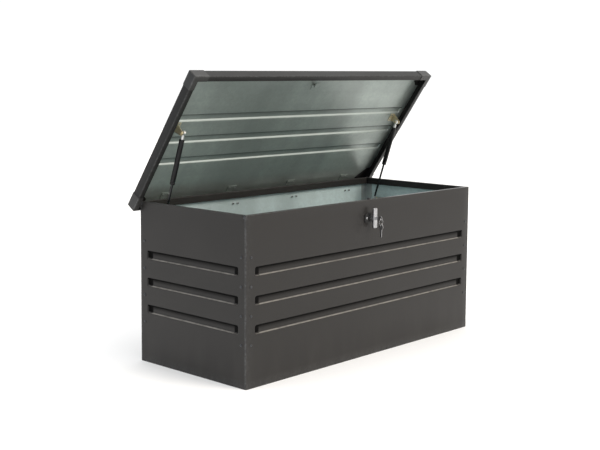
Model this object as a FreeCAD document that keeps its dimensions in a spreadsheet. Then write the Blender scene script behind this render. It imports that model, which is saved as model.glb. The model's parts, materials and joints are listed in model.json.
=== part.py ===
import FreeCAD, Part
import os
import re

import Sketcher

# Deck storage box of folded sheet steel, stored with its lid propped open.
#
# Frame: origin at the middle of the box's footprint on the ground, +X to the right, +Y to the back
# (the hinge side), +Z up.  Everything on the lid is drawn as if the lid were shut, in a frame whose
# origin is the hinge axis, and is then turned open by `lid_open` about that axis.

# Driving dimensions in millimetres and degrees.  Each one is a named cell of the spreadsheet.
SIZES = {
    # Carcass
    "body_width": 1211, "body_depth": 518, "body_height": 555, "sheet_wall": 1, "rim_flange": 15,
    "rim_lip": 25, "seam_gap": 0.5, "floor_edge": 20, "rib_depth": 7, "rib_height": 27, "rib_draft": 3,
    "rib_pitch": 93.5, "rib_middle": 280.5, "front_rib_margin": 41.5, "side_rib_margin": 37.5,
    "post_leg": 31, "post_wall": 1.5, "post_tongue": 12, "post_gap": 2,
    # Fasteners
    "bolt_inset": 22, "bolt_radius": 2.5, "bolt_head_radius": 4.8, "bolt_head": 2.6, "bolt_crown": 2.2,
    "bolt_length": 8.5, "hole_gap": 0.25, "nut_radius": 4.6, "nut_height": 4, "tongue_bolt_inset": 7.5,
    "tongue_bolt_drop": 7, "rivet_radius": 2, "rivet_head_radius": 4, "rivet_head": 1.3, "rivet_crown": 1,
    # Lid
    "lid_open": 55.2, "lid_clearance": 2.8, "lid_gap": 4.8, "lid_back_overhang": 18.5, "rail_width": 20,
    "rail_height": 33.6, "rail_wall": 1.2, "back_rail_lip": 5, "lid_rib_height": 26, "lid_rib_depth": 6,
    "lid_rib_pitch": 92, "lid_rib_middle": 275, "lid_rib_margin": 2, "cap_wall": 1.5, "cap_front_leg": 60,
    "cap_side_leg": 54, "gusset_leg": 46, "gusset_wall": 1.2,
    # Hinges
    "hinge_back": 8.87, "hinge_drop": 20.93, "hinge_pitch": 318, "hinge_width": 42, "knuckle_width": 20.5,
    "knuckle_radius": 4.5, "knuckle_gap": 0.5, "pin_radius": 2.5, "pin_clearance": 0.05, "pin_head": 1.5,
    "pin_head_radius": 3.5, "leaf_wall": 2, "body_leaf_drop": 36, "body_leaf_bolt_drop": 25,
    "lid_leaf_reach": 40, "leaf_hole_pitch": 24, "lid_leaf_rivet": 31,
    # Gas struts
    "strut_inset": 38, "strut_lid_distance": 333, "strut_lid_drop": 36, "strut_foot_back": 71.6,
    "strut_foot_height": 463.8, "tube_radius": 9, "tube_bore": 7.5, "tube_start": 22.8,
    "tube_length": 163.5, "tube_end_wall": 6, "tube_crown": 1.5, "rod_radius": 4, "rod_clearance": 0.05,
    "piston_length": 10, "piston_gap": 1, "piston_clearance": 0.08, "eye_radius": 7.5, "eye_width": 8,
    "neck_radius": 5.5, "neck_length": 22, "socket_depth": 8, "stud_radius": 3, "waist_radius": 3.6,
    "waist_length": 3, "stud_head_radius": 5, "stud_head": 2.5, "bracket_inset": 25, "bracket_half": 12,
    "bracket_foot": 20, "bracket_end": 9, "open_pivot_gap": 0.4, "bracket_base_half": 17,
    "bracket_rivet": 10,
    # Lock
    "lock_height": 492, "gasket_wall": 1, "lock_plate_width": 64, "lock_plate_height": 30,
    "lock_plate_wall": 3.5, "lock_plate_corner": 10, "lock_screw_pitch": 46, "lock_screw_radius": 2,
    "lock_screw_head_radius": 4, "lock_screw_head": 2.5, "lock_screw_crown": 2, "lock_screw_length": 9,
    "housing_radius": 10, "housing_flange_radius": 13, "housing_flange": 2, "housing_length": 20.5,
    "housing_nut_radius": 15.6, "housing_nut": 6, "handle_length": 70, "handle_width": 19,
    "handle_thick": 10.5, "handle_reach": 26.5, "handle_corner": 3.5, "boss_radius": 11, "boss_gap": 0.5,
    "shaft_radius": 6.5, "shaft_tip_half": 4, "shaft_end": 1, "plug_radius": 6, "plug_depth": 20,
    "plug_face": 2.4, "plug_face_radius": 7.5, "plug_crown": 0.6, "plug_face_gap": 0.1, "cam_setback": 20.5,
    "cam_wall": 2.5, "cam_reach": 62, "cam_half": 8, "cam_eye_radius": 10, "cam_lip": 10, "cam_nut": 5,
    "cam_nut_radius": 7.5, "keeper_rise": 56, "keeper_half": 10, "keeper_setback": 35, "keeper_ledge": 10,
    "keeper_foot": 20, "keeper_rivet": 7, "keeper_rivet_back": 11,
    # Keys and ring
    "key_wall": 2, "key_blade": 20.5, "key_blade_half": 3.5, "key_neck": 7, "key_neck_half": 4.4,
    "key_bow_radius": 9.5, "key_lap": 1, "key_hole_radius": 2.6, "key_hole_offset": 5.2, "keyway_gap": 0.15,
    "key_notch": 1.4, "key_low_notch": 0.8, "key_notch_pitch": 4.2, "ring_radius": 10, "ring_wire": 0.8,
    "ring_gap": 0.1,
    # Rim buffer
    "buffer_radius": 5, "buffer_crown": 1.5, "buffer_gap": 0.3, "buffer_stem_radius": 2, "buffer_stem": 4,
}

# Places worked out from the sizes.  Lid places are measured from the hinge axis with the lid shut.
PLACES = {
    "half_width": "body_width / 2",
    "half_depth": "body_depth / 2",
    "hinge_y": "body_depth / 2 + hinge_back",
    "hinge_z": "body_height - hinge_drop",
    "lid_side": "body_width / 2 + lid_clearance + rail_width",
    "lid_front": "-(body_depth + hinge_back + lid_clearance + rail_width)",
    "lid_back": "lid_back_overhang - hinge_back",
    "lid_top": "hinge_drop + lid_gap + sheet_wall + rail_wall",
    "lid_bottom": "lid_top - rail_height",
    "sheet_top": "lid_top - rail_wall",
    "sheet_under": "sheet_top - sheet_wall",
    "pivot_y": "lid_back - strut_lid_distance",
    "pivot_z": "lid_top - strut_lid_drop",
    "strut_top_y": "hinge_y + pivot_y * cos(lid_open) + pivot_z * sin(lid_open)",
    "strut_top_z": "hinge_z - pivot_y * sin(lid_open) + pivot_z * cos(lid_open)",
    "strut_foot_y": "body_depth / 2 - strut_foot_back",
    "strut_run_y": "strut_foot_y - strut_top_y",
    "strut_run_z": "strut_top_z - strut_foot_height",
    "strut_length": "sqrt(strut_run_y ^ 2 + strut_run_z ^ 2)",
    "strut_x": "body_width / 2 - strut_inset",
    "plate_x": "body_width / 2 - bracket_inset",
    "panel_front": "-body_depth / 2",
    "plate_front": "panel_front - gasket_wall - lock_plate_wall",
    "housing_front": "plate_front - housing_flange",
    "grip_front": "panel_front - handle_reach",
    "grip_back": "grip_front + handle_thick",
    "cam_front": "panel_front + cam_setback",
    "cam_back": "cam_front + cam_wall",
    "keeper_back": "panel_front + keeper_setback + leaf_wall - hinge_y",
    "key_seat": "grip_front - plug_face_gap - plug_face",
    "ring_top": "lock_height - key_hole_radius + ring_wire + ring_gap",
    "ring_y": "key_seat - key_neck - key_bow_radius + key_lap - key_hole_offset",
}

WALLS = {  # outward direction of each wall, as the turn that takes +Z to it
    "front": ((1, 0, 0), 90), "back": ((1, 0, 0), -90), "left": ((0, 1, 0), -90), "right": ((0, 1, 0), 90),
}
AXIS_TURN = {"x": ((0, 1, 0), 90), "y": ((1, 0, 0), -90), "z": ((0, 0, 1), 0)}
NEAR = 0.01  # two places closer than this are the same place

doc = FreeCAD.newDocument("deck_storage_box")


def make_sheet():
    """Write the driving dimensions into the spreadsheet."""
    sheet = doc.addObject("Spreadsheet::Sheet", "sizes")
    for row, (alias, number) in enumerate(SIZES.items(), start=1):
        sheet.set(f"A{row}", alias)
        sheet.set(f"B{row}", str(number))
        sheet.setAlias(f"B{row}", alias)
    doc.recompute()
    return sheet


def formula(text):
    """Turn plain size and place names into references to the sheet and the place list."""
    def reference(match):
        word = match.group()
        if word in SIZES:
            return "sizes." + word
        return "places." + word if word in PLACES else word
    return re.sub(r"[A-Za-z_]\w*", reference, str(text))


def make_places():
    """Bind each derived place to its formula."""
    places = doc.addObject("App::VarSet", "places")
    for name, text in PLACES.items():
        places.addProperty("App::PropertyFloat", name, "Places")
        places.setExpression(name, formula(text))
        doc.recompute()
    return places


sheet = make_sheet()
places = make_places()


def value(text):
    """The number that a formula gives with the present sizes."""
    return float(sheet.evalExpression(formula(text)))


def bind(feature, **formulas):
    """Bind properties of a feature; double underscores stand for dots in the property's path."""
    for path, text in formulas.items():
        feature.setExpression(path.replace("__", "."), formula(text))


def turn_to(feature, axis, angle):
    """Give a feature a fixed turn about an axis."""
    feature.Placement = FreeCAD.Placement(FreeCAD.Vector(), FreeCAD.Rotation(FreeCAD.Vector(*axis), angle))


def place_on_lid(feature):
    """Carry a piece drawn in the shut lid's frame to the open lid."""
    turn_to(feature, (-1, 0, 0), 0)
    bind(feature, Placement__Base__y="hinge_y", Placement__Base__z="hinge_z",
         Placement__Rotation__Angle="lid_open")


def place_on_strut(feature):
    """Carry a piece drawn along -Z from the upper pivot to the strut's line."""
    turn_to(feature, (1, 0, 0), 0)
    bind(feature, Placement__Base__y="strut_top_y", Placement__Base__z="strut_top_z",
         Placement__Rotation__Angle="atan2(strut_run_y; strut_run_z)")


def stay(feature):
    """Leave a piece in the box's own frame."""


def signed(sign, low, high):
    """A span on the right (sign 1) or mirrored to the left (sign -1)."""
    return (low, high) if sign > 0 else (f"-({high})", f"-({low})")


def at(sign, text):
    """A place on the right (sign 1) or mirrored to the left (sign -1)."""
    return text if sign > 0 else f"-({text})"


class Piece:
    """One sub-part: a PartDesign body whose features are bound to the sizes."""

    def __init__(self, label, pose=stay):
        self.body = doc.addObject("PartDesign::Body", label)
        self.body.Label = label
        pose(self.body)

    def box(self, x, y, z, kind="AdditiveBox"):
        """Add a block between three (low, high) spans."""
        block = self.body.newObject("PartDesign::" + kind, kind.lower())
        bind(block, Length=f"({x[1]}) - ({x[0]})", Width=f"({y[1]}) - ({y[0]})", Height=f"({z[1]}) - ({z[0]})",
             Placement__Base__x=x[0], Placement__Base__y=y[0], Placement__Base__z=z[0])

    def cut_box(self, x, y, z):
        """Remove a block between three (low, high) spans."""
        self.box(x, y, z, "SubtractiveBox")

    def cylinder(self, axis, span, centre, radius, kind="AdditiveCylinder"):
        """Add a cylinder along an axis over a span; centre holds the other two coordinates in order."""
        round_bar = self.body.newObject("PartDesign::" + kind, kind.lower())
        turn_to(round_bar, *AXIS_TURN[axis])
        base = dict(zip([name for name in "xyz" if name != axis], centre))
        base[axis] = span[0]
        bind(round_bar, Radius=radius, Height=f"({span[1]}) - ({span[0]})",
             Placement__Base__x=base["x"], Placement__Base__y=base["y"], Placement__Base__z=base["z"])

    def bore(self, axis, span, centre, radius):
        """Remove a cylinder along an axis over a span."""
        self.cylinder(axis, span, centre, radius, "SubtractiveCylinder")

    def sketch(self, plane, start):
        """A sketch on one of the body's own planes, moved along the plane's normal by start."""
        drawing = self.body.newObject("Sketcher::SketchObject", "outline")
        support = next(item for item in self.body.Origin.OriginFeatures if item.Role == plane + "_Plane")
        drawing.AttachmentSupport = [(support, "")]
        drawing.MapMode = "FlatFace"
        bind(drawing, AttachmentOffset__Base__z=start)
        return drawing

    def pin_point(self, drawing, edge, corner, name, point):
        """Hold one point of a sketch at bound coordinates."""
        for kind, letter, text in (("DistanceX", "u", point[0]), ("DistanceY", "v", point[1])):
            index = drawing.addConstraint(Sketcher.Constraint(kind, -1, 1, edge, corner, value(text)))
            drawing.renameConstraint(index, letter + name)
            drawing.setExpression("Constraints." + letter + name, formula(text))

    def polygon(self, drawing, points):
        """Draw one closed outline through bound points."""
        first = drawing.GeometryCount
        corners = [FreeCAD.Vector(value(u), value(v), 0) for u, v in points]
        count = len(corners)
        for index in range(count):
            drawing.addGeometry(Part.LineSegment(corners[index], corners[(index + 1) % count]))
        for index in range(count):
            following = first + (index + 1) % count
            drawing.addConstraint(Sketcher.Constraint("Coincident", first + index, 2, following, 1))
            self.pin_point(drawing, first + index, 1, str(first + index), points[index])

    def extrude(self, plane, outlines, start, length, kind="Pad"):
        """Add a plate of the given outlines; it grows along the plane's normal from start."""
        drawing = self.sketch(plane, start)
        for points in outlines:
            self.polygon(drawing, points)
        feature = self.body.newObject("PartDesign::" + kind, kind.lower())
        feature.Profile = drawing
        feature.Reversed = kind == "Pocket"
        bind(feature, Length=length)

    def pocket(self, plane, outlines, start, length):
        """Remove plates of the given outlines; the cut grows along the plane's normal from start."""
        self.extrude(plane, outlines, start, length, "Pocket")

    def holes(self, plane, centres, radius, start, length):
        """Remove round holes of one radius; the cut grows along the plane's normal from start."""
        drawing = self.sketch(plane, start)
        for index, (u, v) in enumerate(centres):
            middle = FreeCAD.Vector(value(u), value(v), 0)
            drawing.addGeometry(Part.Circle(middle, FreeCAD.Vector(0, 0, 1), value(radius)))
            self.pin_point(drawing, index, 3, str(index), (u, v))
            size = drawing.addConstraint(Sketcher.Constraint("Radius", index, value(radius)))
            drawing.renameConstraint(size, f"r{index}")
            drawing.setExpression(f"Constraints.r{index}", formula(radius))
        cut = self.body.newObject("PartDesign::Pocket", "pocket")
        cut.Profile = drawing
        cut.Reversed = True
        bind(cut, Length=length)

    def hexagon(self, radius, low, high):
        """Add a hexagonal block about Z."""
        prism = self.body.newObject("PartDesign::AdditivePrism", "hexagon")
        prism.Polygon = 6
        bind(prism, Circumradius=radius, Height=f"({high}) - ({low})", Placement__Base__z=low)

    def fillet(self, radius, wanted):
        """Round the edges for which wanted(edge) is true."""
        doc.recompute()
        base = self.body.Tip
        whole = self.body.Tip.Shape.BoundBox
        names = [f"Edge{number}" for number, edge in enumerate(base.Shape.Edges, start=1)
                 if wanted(edge.BoundBox, whole)]
        rounding = self.body.newObject("PartDesign::Fillet", "fillet")
        rounding.Base = (base, names)
        bind(rounding, Radius=radius)


def group(label, master, places_and_turns, pose=stay):
    """One node of separate identical solids: links to a master piece, each at a bound place."""
    links = []
    for (x, y, z), (axis, angle) in places_and_turns:
        link = doc.addObject("App::Link", label + "_link")
        link.LinkedObject = master.body
        turn_to(link, axis, angle)
        bind(link, Placement__Base__x=x, Placement__Base__y=y, Placement__Base__z=z)
        links.append(link)
    whole = doc.addObject("Part::Compound", label)
    whole.Label = label
    whole.Links = links
    pose(whole)
    return whole


# ---------------------------------------------------------------- carcass

CORNERS = [("front", "left", -1, -1), ("front", "right", -1, 1),
           ("back", "left", 1, -1), ("back", "right", 1, 1)]
SIDES = [("left", -1), ("right", 1)]
HINGE_COUNT = 4
RIB_ROWS = (-1, 0, 1)
BOLT_ROWS = (-1.5, -0.5, 0.5, 1.5)


def slab_start(along, low, high):
    """Where a slab between two distances from the middle starts along a sketch plane's normal.

    The slab lies on the normal's side of the middle (along 1) or on the other side (along -1).
    """
    return low if along > 0 else f"-({high})"


def rib_outline(end, row, shrink):
    """A pressed rib seen along the wall's normal: from -end to end, `shrink` smaller all round."""
    low = f"rib_middle + {row} * rib_pitch - rib_height / 2 + {shrink}"
    high = f"rib_middle + {row} * rib_pitch + rib_height / 2 - {shrink}"
    return [(f"-({end} - {shrink})", low), (f"{end} - {shrink}", low),
            (f"{end} - {shrink}", high), (f"-({end} - {shrink})", high)]


def press_ribs(panel, plane, along, outer, end):
    """Press three ribs inwards into a wall whose outer face is `outer` from the middle."""
    inner = f"{outer} - sheet_wall"
    backs = [rib_outline(end, row, "0") for row in RIB_ROWS]
    hollows = [rib_outline(end, row, "sheet_wall") for row in RIB_ROWS]
    panel.extrude(plane, backs, slab_start(along, f"{inner} - rib_depth", inner), "rib_depth")
    panel.pocket(plane, hollows, slab_start(along, f"{outer} - rib_depth", outer), "rib_depth")


def bolt_heights():
    """Heights of the four seam bolts, half way between the ribs."""
    return [f"rib_middle + {row} * rib_pitch" for row in BOLT_ROWS]


def tongue_bolt():
    """Distance from the corner and height of the bolt through a post's tongue."""
    return "half_depth - tongue_bolt_inset", "body_height - tongue_bolt_drop"


def long_panel(name, sign):
    """Front (sign -1) or back (sign 1) panel with its rim and three ribs pressed inwards."""
    panel = Piece(name + "_panel")
    outer = "half_depth"
    inner = "half_depth - sheet_wall"
    width = ("-half_width", "half_width")
    panel.box(width, signed(sign, inner, outer), ("0", "body_height"))
    # The XZ plane's normal is -Y, so the front wall lies on the normal's side.
    press_ribs(panel, "XZ", -sign, outer, "(half_width - front_rib_margin)")
    panel.box(width, signed(sign, "half_depth - rim_flange", outer),
              ("body_height - sheet_wall", "body_height"))
    panel.box(("-(half_width - sheet_wall)", "half_width - sheet_wall"),
              signed(sign, "half_depth - rim_flange", "half_depth - rim_flange + sheet_wall"),
              ("body_height - rim_lip", "body_height"))
    seam = [(at(side, "half_width - bolt_inset"), height) for _, side in SIDES for height in bolt_heights()]
    wall_start = slab_start(-sign, inner, outer)
    panel.holes("XZ", seam, "bolt_radius + hole_gap", wall_start, "sheet_wall")
    return panel, wall_start


def make_front_panel():
    """Front panel, with the lock's holes and the buffer's hole in the rim."""
    panel, wall_start = long_panel("front", -1)
    panel.holes("XZ", [("0", "lock_height")], "housing_radius + hole_gap", wall_start, "sheet_wall")
    screws = [(at(side, "lock_screw_pitch / 2"), "lock_height") for _, side in SIDES]
    panel.holes("XZ", screws, "lock_screw_radius + hole_gap", wall_start, "sheet_wall")
    panel.holes("XY", [("0", "panel_front + rim_flange / 2")], "buffer_stem_radius + hole_gap",
                "body_height - sheet_wall", "sheet_wall")


def make_back_panel():
    """Back panel, with the holes for the hinge leaves."""
    panel, wall_start = long_panel("back", 1)
    holes = [(x, "hinge_z - body_leaf_bolt_drop") for x in leaf_hole_places()]
    panel.holes("XZ", holes, "bolt_radius + hole_gap", wall_start, "sheet_wall")


def make_side_panel(name, sign):
    """Side panel between the long panels, with its rim and ribs."""
    panel = Piece(name + "_panel")
    inner = "half_width - sheet_wall"
    panel.box(signed(sign, inner, "half_width"), ("-(half_depth - sheet_wall)", "half_depth - sheet_wall"),
              ("0", "body_height - sheet_wall"))
    press_ribs(panel, "YZ", sign, "half_width", "(half_depth - side_rib_margin)")
    rim = ("-(half_depth - rim_flange - seam_gap)", "half_depth - rim_flange - seam_gap")
    panel.box(signed(sign, "half_width - rim_flange", "half_width"), rim,
              ("body_height - sheet_wall", "body_height"))
    panel.box(signed(sign, "half_width - rim_flange", "half_width - rim_flange + sheet_wall"), rim,
              ("body_height - rim_lip", "body_height"))
    wall_start = slab_start(sign, inner, "half_width")
    seam = [(at(end_sign, "half_depth - bolt_inset"), height)
            for end_sign in (-1, 1) for height in bolt_heights()]
    seam += [(at(end_sign, tongue_bolt()[0]), tongue_bolt()[1]) for end_sign in (-1, 1)]
    panel.holes("YZ", seam, "bolt_radius + hole_gap", wall_start, "sheet_wall")


def make_floor():
    """Floor tray with upturned edges, standing on the ground inside the four panels."""
    tray = Piece("floor_tray")
    x_in = "half_width - sheet_wall"
    y_in = "half_depth - sheet_wall"
    tray.box((f"-({x_in})", x_in), (f"-({y_in})", y_in), ("0", "floor_edge"))
    tray.cut_box((f"-({x_in} - sheet_wall)", f"{x_in} - sheet_wall"),
                 (f"-({y_in} - sheet_wall)", f"{y_in} - sheet_wall"), ("sheet_wall", "floor_edge"))


def make_corner_post(long_name, side_name, y_sign, x_sign):
    """Angle post inside a corner, with a narrow tongue that reaches up inside the rim."""
    post = Piece(f"corner_post_{long_name}_{side_name}")
    x_in = "half_width - sheet_wall"
    y_in = "half_depth - sheet_wall"
    height = ("floor_edge + post_gap", "body_height - rim_lip - post_gap")
    post.box(signed(x_sign, f"{x_in} - post_leg", x_in), signed(y_sign, f"{y_in} - post_wall", y_in), height)
    post.box(signed(x_sign, f"{x_in} - post_wall", x_in), signed(y_sign, f"{y_in} - post_leg", y_in), height)
    post.box(signed(x_sign, f"{x_in} - post_wall", x_in), signed(y_sign, f"{y_in} - post_tongue", y_in),
             ("floor_edge + post_gap", "body_height - sheet_wall - post_gap"))
    hole = "bolt_radius + hole_gap"
    y_start = slab_start(-y_sign, f"{y_in} - post_wall", y_in)
    x_start = slab_start(x_sign, f"{x_in} - post_wall", x_in)
    long_seam = [(at(x_sign, "half_width - bolt_inset"), z) for z in bolt_heights()]
    post.holes("XZ", long_seam, hole, y_start, "post_wall")
    seam = [(at(y_sign, "half_depth - bolt_inset"), z) for z in bolt_heights()]
    seam.append((at(y_sign, tongue_bolt()[0]), tongue_bolt()[1]))
    post.holes("YZ", seam, hole, x_start, "post_wall")


# ---------------------------------------------------------------- fasteners

def seam_places(depth):
    """Places and turns of all seam bolts, `depth` inside the outer faces of the panels."""
    spots = []
    for long_name, side_name, y_sign, x_sign in CORNERS:
        for z in bolt_heights():
            spots.append(((at(x_sign, "half_width - bolt_inset"), at(y_sign, f"half_depth - ({depth})"), z),
                          WALLS[long_name]))
            spots.append(((at(x_sign, f"half_width - ({depth})"), at(y_sign, "half_depth - bolt_inset"), z),
                          WALLS[side_name]))
        spots.append(((at(x_sign, f"half_width - ({depth})"), at(y_sign, tongue_bolt()[0]), tongue_bolt()[1]),
                      WALLS[side_name]))
    return spots


def hinge_x(index):
    """Middle of one of the equally spaced hinges."""
    return f"({index} - ({HINGE_COUNT} - 1) / 2) * hinge_pitch"


def leaf_hole_places():
    """The x of every hole in the hinge leaves, two to a leaf."""
    return [f"{hinge_x(index)} + {side} * leaf_hole_pitch / 2"
            for index in range(HINGE_COUNT) for _, side in SIDES]


def hinge_bolt_places(depth):
    """Places of the bolts in the body leaves, `depth` in from the leaves' outer faces."""
    return [((x, f"half_depth + leaf_wall - ({depth})", "hinge_z - body_leaf_bolt_drop"), WALLS["back"])
            for x in leaf_hole_places()]


def make_bolt():
    """Dome-headed bolt: its seat at the origin, the head above it and the shank below."""
    bolt = Piece("dome_bolt")
    bolt.cylinder("z", ("0", "bolt_head"), ("0", "0"), "bolt_head_radius")
    bolt.fillet("bolt_crown", lambda edge, whole: edge.ZMin > whole.ZMax - NEAR)
    bolt.cylinder("z", ("-bolt_length", "0"), ("0", "0"), "bolt_radius")
    return bolt


def make_nut():
    """Hexagon nut hanging from its seat at the origin."""
    nut = Piece("hexagon_nut")
    nut.hexagon("nut_radius", "-nut_height", "0")
    nut.bore("z", ("-nut_height", "0"), ("0", "0"), "bolt_radius")
    return nut


def make_rivet():
    """Rivet through a leaf and the lid sheet, with its lower seat at the origin."""
    rivet = Piece("lid_rivet")
    stack = "leaf_wall + sheet_wall"
    rivet.cylinder("z", ("-rivet_head", "0"), ("0", "0"), "rivet_head_radius")
    rivet.fillet("rivet_crown", lambda edge, whole: edge.ZMax < whole.ZMin + NEAR)
    rivet.cylinder("z", ("0", stack), ("0", "0"), "rivet_radius")
    rivet.cylinder("z", (stack, f"{stack} + rivet_head"), ("0", "0"), "rivet_head_radius")
    rivet.fillet("rivet_crown", lambda edge, whole: edge.ZMin > whole.ZMax - NEAR)
    return rivet


def make_body_fasteners():
    """All dome bolts and nuts of the carcass: seams and hinge leaves."""
    group("body_bolts", make_bolt(), seam_places("0") + hinge_bolt_places("0"))
    group("body_nuts", make_nut(),
          seam_places("sheet_wall + post_wall") + hinge_bolt_places("sheet_wall + leaf_wall"))


# ---------------------------------------------------------------- hinges

def make_hinge(index):
    """Body leaf and lid leaf of one hinge."""
    x_mid = hinge_x(index)
    half = "hinge_width / 2"
    knuckle = "knuckle_width / 2"
    wide = (f"{x_mid} - {half}", f"{x_mid} + {half}")
    mid = (f"{x_mid} - {knuckle}", f"{x_mid} + {knuckle}")
    ends = [(f"{x_mid} - {half}", f"{x_mid} - {knuckle} - knuckle_gap"),
            (f"{x_mid} + {knuckle} + knuckle_gap", f"{x_mid} + {half}")]
    axis = ("hinge_y", "hinge_z")
    leaf = Piece(f"hinge_{index + 1}_body_leaf")
    web_top = "hinge_z - knuckle_radius + leaf_wall"
    leaf.box(wide, ("half_depth", "half_depth + leaf_wall"), ("hinge_z - body_leaf_drop", web_top))
    for span in ends:
        leaf.box(span, ("half_depth", "hinge_y"), ("hinge_z - knuckle_radius", web_top))
        leaf.cylinder("x", span, axis, "knuckle_radius")
    for span in ends:
        leaf.bore("x", span, axis, "pin_radius")
    holes = [(f"{x_mid} + {side} * leaf_hole_pitch / 2", "hinge_z - body_leaf_bolt_drop") for _, side in SIDES]
    leaf.holes("XZ", holes, "bolt_radius + hole_gap", "-(half_depth + leaf_wall)", "leaf_wall")

    leaf = Piece(f"hinge_{index + 1}_lid_leaf", place_on_lid)
    web_back = "lid_back - rail_wall"
    web_low = "knuckle_radius - leaf_wall"
    leaf.box(wide, (f"{web_back} - leaf_wall", web_back), (web_low, "sheet_under"))
    leaf.box(wide, ("lid_back - lid_leaf_reach", web_back), ("sheet_under - leaf_wall", "sheet_under"))
    leaf.box(mid, ("0", web_back), (web_low, "knuckle_radius"))
    leaf.cylinder("x", mid, ("0", "0"), "knuckle_radius")
    leaf.bore("x", mid, ("0", "0"), "pin_radius + pin_clearance")
    rivets = [(f"{x_mid} + {side} * leaf_hole_pitch / 2", "lid_back - lid_leaf_rivet") for _, side in SIDES]
    leaf.holes("XY", rivets, "rivet_radius", "sheet_under - leaf_wall", "leaf_wall")


def make_hinge_pins():
    """Pins with a thin head at each end, pressed into the body leaves."""
    pin = Piece("hinge_pin")
    pin.cylinder("x", ("-hinge_width / 2", "hinge_width / 2"), ("0", "0"), "pin_radius")
    for _, side in SIDES:
        head = signed(side, "hinge_width / 2", "hinge_width / 2 + pin_head")
        pin.cylinder("x", head, ("0", "0"), "pin_head_radius")
    spots = [((hinge_x(index), "hinge_y", "hinge_z"), AXIS_TURN["z"]) for index in range(HINGE_COUNT)]
    group("hinge_pins", pin, spots)


# ---------------------------------------------------------------- lid

def lid_rib(row, shrink):
    """Section of a lid rib across the lid: a flat-topped ridge, `shrink` smaller all round."""
    middle = f"lid_back - lid_rib_middle + {row} * lid_rib_pitch"
    foot = f"(lid_rib_height / 2 - {shrink})"
    crest = f"(lid_rib_height / 2 - rib_draft - {shrink})"
    return middle, foot, crest


def make_lid_sheet():
    """Lid skin, trapped under the rails' top flanges, with three ridges pressed upwards."""
    skin = Piece("lid_sheet", place_on_lid)
    x_end = "lid_side - rail_wall"
    skin.box((f"-({x_end})", x_end), ("lid_front + rail_wall", "lid_back - rail_wall"),
             ("sheet_under", "sheet_top"))
    rib_end = "lid_side - rail_width - lid_rib_margin"
    ridges = []
    hollows = []
    for row in RIB_ROWS:
        middle, foot, crest = lid_rib(row, "0")
        ridges.append([(f"{middle} - {foot}", "sheet_top"), (f"{middle} + {foot}", "sheet_top"),
                       (f"{middle} + {crest}", "sheet_top + lid_rib_depth"),
                       (f"{middle} - {crest}", "sheet_top + lid_rib_depth")])
        middle, foot, crest = lid_rib(row, "sheet_wall")
        hollows.append([(f"{middle} - {foot}", "sheet_under"), (f"{middle} + {foot}", "sheet_under"),
                        (f"{middle} + {crest}", "sheet_under + lid_rib_depth"),
                        (f"{middle} - {crest}", "sheet_under + lid_rib_depth")])
    skin.extrude("YZ", ridges, f"-({rib_end})", f"2 * ({rib_end})")
    skin.pocket("YZ", hollows, f"-({rib_end} - sheet_wall)", f"2 * ({rib_end} - sheet_wall)")
    skin.holes("XY", [(x, y) for x, y, _ in rivet_places()], "rivet_radius", "sheet_under", "sheet_wall")


def make_long_rail(name, y_sign, lip):
    """Front or back rail: a channel the full width of the lid, open towards the lid's middle."""
    rail = Piece(f"lid_rail_{name}", place_on_lid)
    edge = "lid_back" if y_sign > 0 else "-(lid_front)"
    wide = ("-(lid_side - rail_wall)", "lid_side - rail_wall")
    flange = "rail_width" if y_sign < 0 else "lid_back_overhang"
    rail.box(("-lid_side", "lid_side"), signed(y_sign, f"{edge} - rail_wall", edge), ("lid_bottom", "lid_top"))
    rail.box(wide, signed(y_sign, f"{edge} - {flange}", edge), ("sheet_top", "lid_top"))
    rail.box(wide, signed(y_sign, f"{edge} - {lip}", edge), ("lid_bottom", "lid_bottom + rail_wall"))


def make_side_rail(name, sign):
    """Side rail: a channel between the long rails."""
    rail = Piece(f"lid_rail_{name}", place_on_lid)
    rail.box(signed(sign, "lid_side - rail_wall", "lid_side"),
             ("lid_front + rail_wall", "lid_back - rail_wall"), ("lid_bottom", "lid_top"))
    flange = signed(sign, "lid_side - rail_width", "lid_side - rail_wall")
    run = ("lid_front + rail_width", "lid_back - lid_back_overhang")
    rail.box(flange, run, ("sheet_top", "lid_top"))
    rail.box(flange, run, ("lid_bottom", "lid_bottom + rail_wall"))


def corner_edges(y_sign):
    """Distance of a lid edge from the hinge axis towards that edge, and the width of its flange."""
    return ("lid_back", "lid_back_overhang") if y_sign > 0 else ("-(lid_front)", "rail_width")


def corner_angle(x_sign, y_sign, y_flange, reach):
    """Plan of an angle that follows a lid corner, standing `reach` outside it."""
    y_edge, _ = corner_edges(y_sign)
    x_out = f"lid_side + {reach}"
    y_out = f"{y_edge} + {reach}"
    y_in = f"{y_edge} - {y_flange}"
    y_end = f"{y_edge} - cap_side_leg"
    plan = [(x_out, y_out), ("lid_side - cap_front_leg", y_out), ("lid_side - cap_front_leg", y_in),
            ("lid_side - rail_width", y_in), ("lid_side - rail_width", y_end), (x_out, y_end)]
    return [(at(x_sign, x), at(y_sign, y)) for x, y in plan]


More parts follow.
